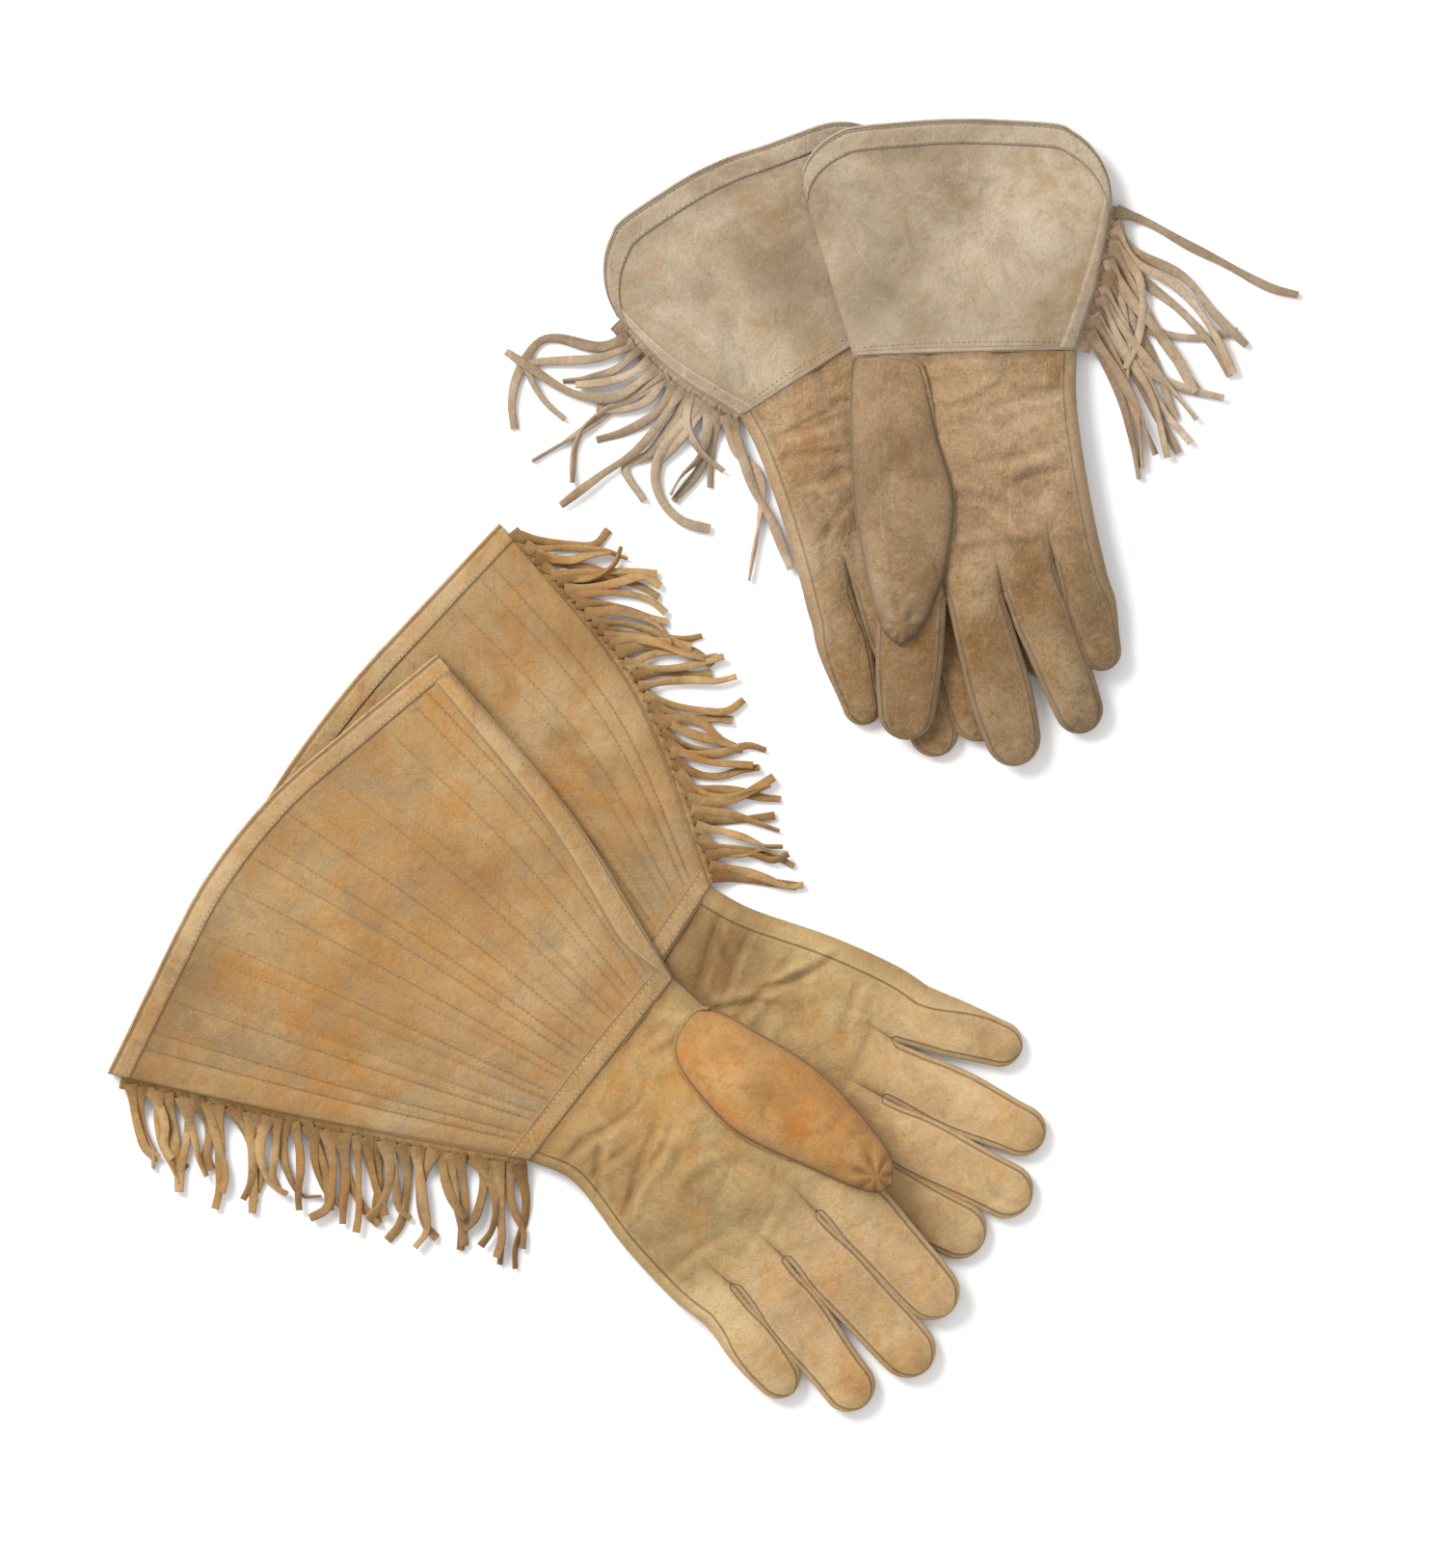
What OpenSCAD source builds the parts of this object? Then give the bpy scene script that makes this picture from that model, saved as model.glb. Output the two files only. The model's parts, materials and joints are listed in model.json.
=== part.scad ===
// Two pairs of fringed leather gauntlet riding gloves, lying palm up on a table.
// The long pair has deep flared cuffs with sewn rows, the short pair has low rounded cuffs.
// In each pair one glove rests on the other.
// Every glove is drawn in its own frame: origin at the middle of the wrist seam, +Y to the
// fingertips, +X to the thumb, +Z from the back of the hand to the palm. Millimetres throughout.

/* [Leather] */
// Thickness of the glove leather
leather_t = 1.3; // [1.1:0.1:1.4]
// Thickness of the cuff lining
lining_t = 0.7; // [0.5:0.1:0.8]
// Thickness of the trim bands on the cuffs
band_t = 0.9; // [0.6:0.1:1]

/* [Long pair] */
// Width of the long gloves across the flat wrist
long_wrist_w = 106; // [100:1:110]
// Length of the long cuffs from wrist seam to mouth corner
long_cuff_l = 176; // [165:1:180]
// Width of the mouth band of the long cuffs
long_band_w = 9; // [7:1:12]

/* [Short pair] */
// Width of the short gloves across the flat wrist
short_wrist_w = 102; // [98:1:106]
// Length of the short cuffs from wrist seam to mouth
short_cuff_l = 104; // [98:1:108]
// Width of the mouth band of the short cuffs
short_band_w = 10; // [8:1:12]

/* [Fringe] */
// Width of one fringe strand
strand_w = 3.2; // [2.6:0.1:3.6]
// Thickness of the fringe leather
strand_t = 1.4; // [1.1:0.1:1.6]
// Uncut depth of the fringe strip along the seam
fringe_root = 6; // [5:0.5:8]

/* [Hidden] */
gap = 0.3;          // clearance between bodies that move
seam = 0.02;        // clearance at each face where two panels of one glove are sewn together
neighbour_gap = 0.6; // taken off each finger's width so that neighbours stay clear
under_cuff_t = 11;  // cuff of a lower glove, band face to band face
over_cuff_t = 14;   // cuff of an upper glove, which stands more open
under_hand_t = 10;
under_thumb_t = 7;
over_hand_t = 11;
over_thumb_t = 10;
over_z = under_hand_t + under_thumb_t + 2 * gap;
slot_w = 16;        // opening from the palm into the thumb
slot_l = 30;
arc_steps = 6;      // segments in a finger's round tip
bow_steps = 6;      // segments in a bowed cuff edge
stitch_w = 0.5;     // width of a line of thread
stitch_h = 0.3;     // how far a line of thread stands up
stitch_rows = 9;    // sewn rows on a long cuff

FINGERS = ["pinky", "ring", "middle", "index"];
PIECES = concat(
    ["palm", "back", "hand_sides"],
    FINGERS,
    ["thumb", "cuff_front", "cuff_back", "cuff_sides", "cuff_lining", "cuff_trim", "fringe", "stitching"]
);

// A pattern is what the two gloves of a pair share.
// [wrist width, cuff length, mouth x at pinky corner, mouth x at thumb corner,
//  corner radii pinky, corner radii thumb, thumb edge bow, mouth band, edge bands [thumb, pinky], sewn rows,
//  finger hinges [x, y, base width, tip width], hand edge on the pinky side, hand edge on the thumb side,
//  thumb [x, y, heel radius, tip radius, swell to the pinky side, swell to the other, swell at],
//  colour of cuff, colour of hand]
WRIST = 0; CUFF_L = 1; MOUTH_P = 2; MOUTH_T = 3; ROUND_P = 4; ROUND_T = 5; EDGE_BOW = 6; BAND = 7;
EDGE_BANDS = 8; ROWS = 9; HINGES = 10; EDGE_P = 11; EDGE_T = 12; THUMB = 13; CUFF_COL = 14; HAND_COL = 15;

LONG = [
    long_wrist_w, long_cuff_l, -138, 101, [3, 3], [3, 3], 7, long_band_w, [12, 0], stitch_rows,
    [[-50, 110, 21, 18], [-28, 116, 25, 21], [-3, 120, 25, 22], [22, 137, 26, 23]],
    [[-46, 22], [-55, 58], [-60, 90]],
    [[46, 80], [50, 40]],
    [40, 17, 17, 11, 24, 20, 50],
    [0.74, 0.57, 0.32], [0.76, 0.60, 0.36]
];
SHORT = [
    short_wrist_w, short_cuff_l, -69, 72, [34, 37], [33, 26], 0, short_band_w, [0, 8], 0,
    [[-50.5, 104, 20, 18], [-27, 108, 22, 20], [-2, 112, 25, 23], [29, 134, 26, 23]],
    [[-50, 22], [-52.5, 49], [-57, 79]],
    [[46, 100], [50, 60]],
    [36, 2, 17, 12, 26, 19, 68],
    [0.66, 0.59, 0.46], [0.63, 0.50, 0.35]
];

// A glove is one laying of a pattern on the table.
// [name, pattern, left hand?, x, y, heading, hand swing, base height, hand, thumb and cuff thickness,
//  cuff pitch, [mouth moved at the pinky corner, at the thumb corner, mouth bow, pinky corner moved out],
//  pinky edge bow,
//  extra width of the hand's pinky side,
//  finger lays [direction, length, droop, shift, extra width], thumb direction, thumb length,
//  fringe [count, length, lean, spread, seed], height of the fringe, long strands]
NAME = 0; PATTERN = 1; LEFT = 2; X = 3; Y = 4; HEADING = 5; SWING = 6; BASE_Z = 7; HAND_T = 8; THUMB_T = 9;
CUFF_T = 10; PITCH = 11; MOUTH = 12; PINKY_BOW = 13; WIDER = 14; LAYS = 15; THUMB_DIR = 16; THUMB_L = 17;
FRINGE = 18; FRINGE_Z = 19; LONG_STRANDS = 20;

GLOVES = [
    ["long_right", LONG, false, -34.3, -91.5, -123, 0, 0, under_hand_t, under_thumb_t, under_cuff_t,
        0, [5, -12, 10, 0], 15, 9,
        [[-14, 51, 0, -5, 9], [-8, 75, 0, 0, 0], [-6, 81, 0, 0, 0], [-7, 56, 0, 0, 0]], -12, 116,
        [28, 44, -34, 14, 5], 3, []],
    ["long_left", LONG, true, -55, -130.5, -128.3, 0, over_z, over_hand_t, over_thumb_t, over_cuff_t,
        1.7, [0, 0, 20, 1], 2, 2,
        [[-14, 51, 12, 0, 0], [-14, 75, 10, 0, 0], [-9, 82, 7, 0, 0], [-11, 57, 3, 0, 0]], 1, 118,
        [29, 44, -18, 14, 11], 3, []],
    ["short_left", SHORT, true, 51, 194.3, -147.9, 6.6, 0, under_hand_t, under_thumb_t, under_cuff_t,
        0, [-1, 10, 4, 5], 4, 0,
        [[-8, 54, 0, 0, 0], [-5, 77, 0, 0, 0], [-8, 76, 0, 0, 0], [2, 41, 0, 0, 0]], -3, 122,
        [13, 56, 16, 34, 3], 6,
        // [place along the edge, direction of the first half, direction of the second half, length]
        [[0.03, 26, -46, 84], [0.25, 7, 58, 80], [0.93, -27, -27, 78], [0.97, -40, -40, 76]]],
    ["short_right", SHORT, false, 110.2, 195.8, -178.3, 0, over_z, over_hand_t, over_thumb_t, over_cuff_t,
        3.2, [0, 0, 2, 0], 2, 0,
        [[-13, 43, 6, 0, 0], [-20, 70, 6, 0, 0], [-13, 78, 4, 0, 0], [5, 41, 3, 0, 0]], 1, 129,
        [15, 74, -33, 14, 8], 3,
        [[0.04, -16, -16, 90]]]
];
// The middle of the whole layout's box, which goes to the origin.
centre = [-9.3475, 8.0402];

// ---- plane geometry ----

function turn(p, a) = [p.x * cos(a) - p.y * sin(a), p.x * sin(a) + p.y * cos(a)];
function ahead(a) = [sin(a), cos(a)];           // unit vector at a degrees from +Y towards +X
function beside(a) = [cos(a), -sin(a)];         // unit vector to the thumb side of ahead(a)
function unit(v) = v / norm(v);
function outward(p, q) = unit([-(q - p).y, (q - p).x]);   // left of the way from p to q
function backwards(v) = [for (i = [len(v) - 1:-1:0]) v[i]];
function arc(c, rx, ry, from, to, n) =
    [for (i = [0:n]) let (a = from + (to - from) * i / n) [c.x + rx * cos(a), c.y + ry * sin(a)]];
// Points from p to q on a shallow curve that stands out by sag to the left of the way.
function bow(p, q, sag, n = bow_steps) =
    [for (i = [0:n]) let (t = i / n) p + (q - p) * t + outward(p, q) * 4 * sag * t * (1 - t)];
// The curve v moved by d to the left of its way.
function beside_curve(v, d) =
    [for (i = [0:len(v) - 1]) v[i] + d * outward(v[max(i - 1, 0)], v[min(i + 1, len(v) - 1)])];
// A closed band between the curve v moved by d1 and moved by d2.
function ribbon(v, d1, d2) = concat(beside_curve(v, d1), backwards(beside_curve(v, d2)));
function part_of(v, from, to) =
    [for (i = [round(from * (len(v) - 1)):round(to * (len(v) - 1))]) v[i]];

// ---- cuff outline, from the wrist's thumb corner round the mouth to the wrist's pinky corner ----

function corner_t(g) = let (p = g[PATTERN])
    [p[MOUTH_T] - p[ROUND_T].x, p[ROUND_T].y - p[CUFF_L] + g[MOUTH][1]];
function corner_p(g) = let (p = g[PATTERN])
    [p[MOUTH_P] + p[ROUND_P].x - g[MOUTH][3], p[ROUND_P].y - p[CUFF_L] + g[MOUTH][0]];
function cuff_thumb_edge(g) = let (p = g[PATTERN])
    bow([p[WRIST] / 2, -gap], corner_t(g) + [p[ROUND_T].x, 0], p[EDGE_BOW]);
function cuff_pinky_edge(g) = let (p = g[PATTERN])
    bow(corner_p(g) - [p[ROUND_P].x, 0], [-p[WRIST] / 2, -gap], g[PINKY_BOW]);
function cuff_mouth(g) = let (
        rt = g[PATTERN][ROUND_T],
        rp = g[PATTERN][ROUND_P],
        side = bow(corner_t(g) - [0, rt.y], corner_p(g) - [0, rp.y], g[MOUTH][2])
    )
    concat(
        arc(corner_t(g), rt.x, rt.y, 0, -75, 4),
        [for (i = [1:bow_steps - 1]) side[i]],
        arc(corner_p(g), rp.x, rp.y, -105, -180, 4)
    );
function inner_points(v) = [for (i = [1:len(v) - 2]) v[i]];
function cuff_outline(g) = concat(cuff_thumb_edge(g), inner_points(cuff_mouth(g)), cuff_pinky_edge(g));

// ---- hand outline ----

function lay(g, i) = g[LAYS][i];
function hinge(g, i) = [g[PATTERN][HINGES][i].x + lay(g, i)[3], g[PATTERN][HINGES][i].y];
function finger_w(g, i) = g[PATTERN][HINGES][i][2] + lay(g, i)[4] - neighbour_gap;
function tip_w(g, i) = g[PATTERN][HINGES][i][3] + lay(g, i)[4] / 2 - neighbour_gap;
function hinge_end(g, i, side) = hinge(g, i) + side * finger_w(g, i) / 2 * beside(lay(g, i)[0]);
// The hand swings at the wrist, but its wrist seam stays against the cuff.
function wrist_end(g, side) = turn([side * g[PATTERN][WRIST] / 2, 0], -g[SWING]);
function pinky_side(g) = concat(
    [wrist_end(g, -1)],
    [for (p = g[PATTERN][EDGE_P]) p - [g[WIDER], 0]],
    [hinge_end(g, 0, -1)]
);
function thumb_side(g) = concat([hinge_end(g, 3, 1)], g[PATTERN][EDGE_T], [wrist_end(g, 1)]);
function knuckles(g) = [for (i = [0:3]) for (side = [-1, 1]) hinge_end(g, i, side)];
function hand_outline(g) = concat(
    pinky_side(g),
    [for (i = [1:len(knuckles(g)) - 2]) knuckles(g)[i]],
    thumb_side(g)
);

// ---- placing ----

module on_table(g) {
    translate([g[X] - centre.x, g[Y] - centre.y, 0])
        rotate(g[HEADING])
            mirror([g[LEFT] ? 1 : 0, 0, 0])
                children();
}
module in_hand(g) {
    on_table(g) translate([0, 0, g[BASE_Z]]) rotate(g[SWING]) children();
}
// The cuff leans down from the wrist to its mouth.
module in_cuff(g) {
    on_table(g) translate([0, 0, g[BASE_Z]]) rotate([g[PITCH], 0, 0]) children();
}
module in_finger(g, i) {
    in_hand(g)
        translate([hinge(g, i).x, hinge(g, i).y, 0])
            rotate([-lay(g, i)[2], 0, -lay(g, i)[0]])
                translate([0, gap, 0])
                    children();
}
module in_thumb(g) {
    in_hand(g)
        translate([g[PATTERN][THUMB].x, g[PATTERN][THUMB].y, g[HAND_T] + gap])
            rotate(-g[THUMB_DIR])
                children();
}
module plate(from, to) {
    translate([0, 0, from]) linear_extrude(to - from) children();
}
// Upright panels along a curve, one flat panel for each of its stretches.
module wall(curve, from, to) {
    inner = beside_curve(curve, -leather_t);
    for (i = [0:len(curve) - 2]) {
        e = seam / norm(curve[i + 1] - curve[i]);
        plate(from + seam, to - seam) polygon([
            curve[i] * (1 - e) + curve[i + 1] * e,
            curve[i] * e + curve[i + 1] * (1 - e),
            inner[i] * e + inner[i + 1] * (1 - e),
            inner[i] * (1 - e) + inner[i + 1] * e
        ]);
    }
}

// ---- hand pieces ----

// The slot through which the thumb opens into the hand, in the thumb's frame.
module thumb_slot(g) {
    y = g[PATTERN][THUMB][2] + 2;
    r = slot_w / 2;
    polygon(concat(arc([0, y + slot_l / 2 - r], r, r, 0, 180, arc_steps),
                   arc([0, y + r - slot_l / 2], r, r, 180, 360, arc_steps)));
}
module palm(g) {
    color(g[PATTERN][HAND_COL]) in_hand(g)
        plate(g[HAND_T] - leather_t, g[HAND_T]) difference() {
            polygon(hand_outline(g));
            translate([g[PATTERN][THUMB].x, g[PATTERN][THUMB].y]) rotate(-g[THUMB_DIR]) thumb_slot(g);
        }
}
module back(g) {
    color(g[PATTERN][HAND_COL]) in_hand(g) plate(0, leather_t) polygon(hand_outline(g));
}
module hand_sides(g) {
    color(g[PATTERN][HAND_COL]) in_hand(g) {
        wall(pinky_side(g), leather_t, g[HAND_T] - leather_t);
        wall(thumb_side(g), leather_t, g[HAND_T] - leather_t);
    }
}
// A finger: front and back panels, and the side panels that run up one side, round the tip and down the other.
module finger(g, i) {
    w = finger_w(g, i) / 2;
    r = tip_w(g, i) / 2;
    tip = arc([0, lay(g, i)[1] - gap - r], r, r, 180, 0, arc_steps);
    side = concat([[-w, 0]], tip, [[w, 0]]);
    color(g[PATTERN][HAND_COL]) in_finger(g, i) {
        for (z = [0, g[HAND_T] - leather_t]) plate(z, z + leather_t) polygon(side);
        wall(side, leather_t, g[HAND_T] - leather_t);
    }
}
// The thumb lies on the palm. Its underside is open over the slot in the palm and closed beyond it.
module thumb(g) {
    t = g[PATTERN][THUMB];
    heel = arc([0, t[2]], t[2], t[2], 360, 180, arc_steps);
    tip = arc([0, g[THUMB_L] - t[3]], t[3], t[3], 180, 0, arc_steps);
    closed_from = t[2] + 4 + slot_l / 2;
    swell_p = [-t[4], t[6]];
    swell_t = [t[5], t[6]];
    color(g[PATTERN][HAND_COL]) in_thumb(g) {
        plate(g[THUMB_T] - leather_t, g[THUMB_T]) polygon(concat(heel, [swell_p], tip, [swell_t]));
        plate(0, leather_t) polygon(concat(
            [[-t[2], closed_from], swell_p], tip, [swell_t, [t[2], closed_from]]));
        for (side = [concat(heel, [swell_p, tip[0]]), tip, [tip[arc_steps], swell_t, heel[0]]])
            wall(side, leather_t, g[THUMB_T] - leather_t);
    }
}

// ---- cuff pieces ----

function cuff_low() = band_t + leather_t;
module cuff_front(g) {
    color(g[PATTERN][CUFF_COL]) in_cuff(g)
        plate(g[CUFF_T] - cuff_low(), g[CUFF_T] - band_t) polygon(cuff_outline(g));
}
module cuff_back(g) {
    color(g[PATTERN][CUFF_COL]) in_cuff(g) plate(band_t, cuff_low()) polygon(cuff_outline(g));
}
// The rolled edge on the thumb side and the sewn edge on the pinky side.
module cuff_sides(g) {
    color(g[PATTERN][CUFF_COL]) in_cuff(g)
        for (edge = [cuff_thumb_edge(g), cuff_pinky_edge(g)])
            wall(edge, cuff_low(), g[CUFF_T] - cuff_low());
}
module cuff_lining(g) {
    inside = beside_curve(cuff_outline(g), -leather_t - 0.2);
    color([0.55, 0.48, 0.36]) in_cuff(g)
        for (z = [cuff_low(), g[CUFF_T] - cuff_low() - lining_t]) plate(z, z + lining_t) polygon(inside);
}
// Bands round the mouth and down the edges on both faces, and a wrist band on the front.
module cuff_trim(g) {
    p = g[PATTERN];
    wrist = [[-p[WRIST] / 2 + 1, -gap], [p[WRIST] / 2 - 1, -gap]];
    color(p[CUFF_COL] * 0.9) in_cuff(g) {
        for (z = [0, g[CUFF_T] - band_t]) plate(z, z + band_t) {
            polygon(ribbon(cuff_mouth(g), -p[BAND], 0));
            if (p[EDGE_BANDS][0] > 0) polygon(ribbon(cuff_thumb_edge(g), -p[EDGE_BANDS][0], 0));
            if (p[EDGE_BANDS][1] > 0) polygon(ribbon(cuff_pinky_edge(g), -p[EDGE_BANDS][1], 0));
        }
        plate(g[CUFF_T] - band_t, g[CUFF_T]) polygon(ribbon(wrist, 0, -p[BAND]));
    }
}
// Thread lines on the front: rows that spread from the wrist to the mouth on a long cuff,
// a line beside the mouth band on a short one.
module stitching(g) {
    p = g[PATTERN];
    z = g[CUFF_T] - band_t;
    color([0.45, 0.34, 0.2]) in_cuff(g)
        if (p[ROWS] > 0)
            for (i = [1:p[ROWS]]) {
                s = i / (p[ROWS] + 1);
                plate(z, z + stitch_h) polygon(ribbon([
                    [p[WRIST] * (s - 0.5) * 0.9, -14],
                    [p[MOUTH_P] + (p[MOUTH_T] - p[MOUTH_P]) * s, 18 - p[CUFF_L]]
                ], 0, stitch_w));
            }
        else
            plate(z, z + stitch_h) polygon(ribbon(cuff_mouth(g), -p[BAND] - 2 - stitch_w, -p[BAND] - 2));
}
// One strand: it leaves the strip at a place along the edge and bends once.
module strand(edge, place, first, second, reach) {
    t = place * (len(edge) - 1);
    i = min(floor(t), len(edge) - 2);
    out = outward(edge[i], edge[i + 1]);
    root = edge[i] + (edge[i + 1] - edge[i]) * (t - i) + out * (fringe_root - 0.5);
    knee = root + turn(out, first) * (reach - fringe_root) / 2;
    tip = knee + turn(out, second) * (reach - fringe_root) / 2;
    polygon(ribbon([root, knee, tip], -strand_w / 2, strand_w / 2));
}
// A strip sewn into the pinky edge and cut into strands.
module fringe(g) {
    edge = cuff_pinky_edge(g);
    f = g[FRINGE];
    wander = rands(-f[3], f[3], 2 * f[0], f[4]);
    color(g[PATTERN][CUFF_COL] * 0.95) in_cuff(g) plate(g[FRINGE_Z], g[FRINGE_Z] + strand_t) {
        polygon(ribbon(edge, 0.1, fringe_root));
        for (k = [0:f[0] - 1])
            strand(edge, (k + 0.5) / f[0], f[2] * 0.6 + wander[k] * 0.4, f[2] * 1.2 + wander[k + f[0]], f[1]);
        for (s = g[LONG_STRANDS]) strand(edge, s[0], s[1], s[2], s[3]);
    }
}

// ---- drawing ----

for (g = GLOVES) {
    palm(g);
    back(g);
    hand_sides(g);
    for (i = [0:3])
        finger(g, i);
    thumb(g);
    cuff_front(g);
    cuff_back(g);
    cuff_sides(g);
    cuff_lining(g);
    cuff_trim(g);
    fringe(g);
    stitching(g);
}
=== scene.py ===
"""Two pairs of fringed leather gauntlet riding gloves, laid palm up, each glove across its mate.

Every glove is shaped in its own frame, in millimetres: origin at the middle of the wrist seam,
+y to the fingertips, +x to the thumb. Glove.place() takes that to the row frame, in metres.
"""
import json
import math

import bpy
import numpy as np
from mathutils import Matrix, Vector


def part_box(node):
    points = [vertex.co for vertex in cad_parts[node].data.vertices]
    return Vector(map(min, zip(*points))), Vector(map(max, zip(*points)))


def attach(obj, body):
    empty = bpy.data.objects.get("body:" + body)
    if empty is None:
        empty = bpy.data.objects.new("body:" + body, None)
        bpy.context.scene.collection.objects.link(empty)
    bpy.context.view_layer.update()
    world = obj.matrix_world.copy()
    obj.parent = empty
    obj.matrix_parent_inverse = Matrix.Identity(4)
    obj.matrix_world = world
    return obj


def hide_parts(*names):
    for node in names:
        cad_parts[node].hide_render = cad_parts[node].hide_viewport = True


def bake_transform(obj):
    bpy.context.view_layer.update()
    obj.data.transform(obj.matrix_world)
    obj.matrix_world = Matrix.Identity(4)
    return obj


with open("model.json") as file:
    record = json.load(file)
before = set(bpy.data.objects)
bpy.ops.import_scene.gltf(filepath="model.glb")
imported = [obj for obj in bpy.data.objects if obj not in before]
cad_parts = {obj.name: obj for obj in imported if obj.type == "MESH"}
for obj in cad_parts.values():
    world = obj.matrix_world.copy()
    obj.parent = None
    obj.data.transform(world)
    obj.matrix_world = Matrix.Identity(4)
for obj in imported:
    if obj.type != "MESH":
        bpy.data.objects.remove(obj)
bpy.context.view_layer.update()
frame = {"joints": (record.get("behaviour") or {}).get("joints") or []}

MM = 0.001
FAR = 99.0          # seam distance of a point that no seam is near
JOINTS = {j["name"]: j for j in frame["joints"]}
FINGERS = ("pinky", "ring", "middle", "index")

# ---------------------------------------------------------------- small tools


def lerp(a, b, t):
    return a + (b - a) * t


def smooth(x, low=0.0, high=1.0):
    t = np.clip((np.asarray(x, float) - low) / (high - low), 0, 1)
    return t * t * (3 - 2 * t)


def unit(v):
    v = np.asarray(v, float)
    return v / np.maximum(np.linalg.norm(v, axis=-1, keepdims=True), 1e-9)


def left_of(v):
    return np.stack([-v[..., 1], v[..., 0]], -1)


def turned(p, degrees):
    a = math.radians(degrees)
    p = np.asarray(p, float)
    return np.stack([p[..., 0] * math.cos(a) - p[..., 1] * math.sin(a),
                     p[..., 0] * math.sin(a) + p[..., 1] * math.cos(a)], -1)


def level_side(ahead):
    """The level direction on the left of each direction."""
    return unit(np.stack([-ahead[:, 1], ahead[:, 0], 0 * ahead[:, 0]], -1))


def heading(degrees):
    a = np.radians(degrees)
    return np.stack([np.cos(a), np.sin(a)], -1)


def spline(points, s):
    """Smooth curve through the points, at shares s of its length."""
    p = np.asarray(points, float)
    if len(p) > 2:
        ends = np.concatenate([[2 * p[0] - p[1]], p, [2 * p[-1] - p[-2]]])
        t = np.linspace(0, 1, 13)[:-1, None]
        out = []
        for i in range(1, len(ends) - 2):
            a, b, c, d = ends[i - 1:i + 3]
            out.append(0.5 * (2 * b + (c - a) * t + (2 * a - 5 * b + 4 * c - d) * t * t
                              + (3 * b - a - 3 * c + d) * t ** 3))
        p = np.concatenate(out + [p[-1:]])
    step = run_along(p)
    s = np.asarray(s, float) * step[-1]
    return np.stack([np.interp(s, step, p[:, k]) for k in range(p.shape[1])], -1)


def run_along(p):
    """Distance from the first point to each point of a line."""
    return np.concatenate([[0], np.cumsum(np.linalg.norm(np.diff(p, axis=0), axis=1))])


def bowed(p, q, sag):
    """Three points from p to q on a shallow curve that stands out to the left of the way."""
    p, q = np.asarray(p, float), np.asarray(q, float)
    return [p, (p + q) / 2 + left_of(unit(q - p)) * sag, q]


def patch(start, finish, side_a, side_b, u, t):
    """Point of a patch between four curves: start (t 0), finish (t 1), side_a (u 0), side_b (u 1)."""
    u, t = u[..., None], t[..., None]
    corners = ((1 - u) * (1 - t) * start(0.0) + u * (1 - t) * start(1.0)
               + (1 - u) * t * finish(0.0) + u * t * finish(1.0))
    return ((1 - t) * start(u[..., 0]) + t * finish(u[..., 0])
            + (1 - u) * side_a(t[..., 0]) + u * side_b(t[..., 0]) - corners)


def pillow(x, power):
    """Height of a filled section, from 1 in the middle to 0 at x = -1 and 1."""
    return np.sqrt(np.clip(1 - np.abs(x) ** power, 0, 1))


def value_noise(xy, seed):
    x, y = xy[..., 0], xy[..., 1]
    table = np.random.default_rng(seed).random((64, 64))
    xi, yi = np.floor(x).astype(int), np.floor(y).astype(int)
    fx, fy = smooth(x - xi), smooth(y - yi)
    a = lerp(table[xi % 64, yi % 64], table[(xi + 1) % 64, yi % 64], fx)
    b = lerp(table[xi % 64, (yi + 1) % 64], table[(xi + 1) % 64, (yi + 1) % 64], fx)
    return lerp(a, b, fy) * 2 - 1


def waves(xy, size, seed, octaves=3):
    """Soft random relief from about -1 to 1, with features of that size."""
    total = 0
    for k in range(octaves):
        total = total + value_noise(xy / size * 2 ** k, seed + k) / 2 ** k
    return total / 1.5


def creases(xy, size, seed):
    """Narrow valleys, from 0 to -1, that wander at that spacing."""
    ridge = 1 - np.abs(waves(xy, size, seed, 2)) * 3.5
    return -np.clip(ridge, 0, 1) ** 2


def fold(xy, start, finish, depth, width):
    """A given crease from one point to another: a valley with a soft ridge on its left."""
    a, b = np.array(start, float), np.array(finish, float)
    length = np.linalg.norm(b - a)
    way = (b - a) / length
    run = ((xy - a) @ way) / length
    off = (xy - a) @ left_of(way)
    off = off + 1.4 * np.sin(run * 5 + a[0])
    fade = smooth(run, -0.05, 0.25) * (1 - smooth(run, 0.7, 1.05))
    ridge = 0.7 * np.exp(-((off - 1.9 * width) / (1.3 * width)) ** 2)
    return 1.25 * depth * fade * (ridge - np.exp(-(off / width) ** 2))


# ---------------------------------------------------------------- meshes

def grid_faces(rows, cols, flip=False, offset=0, closed=False):
    r, c = np.meshgrid(np.arange(rows - 1), np.arange(cols if closed else cols - 1), indexing="ij")
    nxt = (c + 1) % cols
    quads = np.stack([r * cols + c, r * cols + nxt, (r + 1) * cols + nxt, (r + 1) * cols + c], -1)
    quads = quads.reshape(-1, 4) + offset
    return quads[:, ::-1] if flip else quads


def link(name, data):
    obj = bpy.data.objects.new(name, data)
    bpy.context.scene.collection.objects.link(obj)
    return obj


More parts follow.
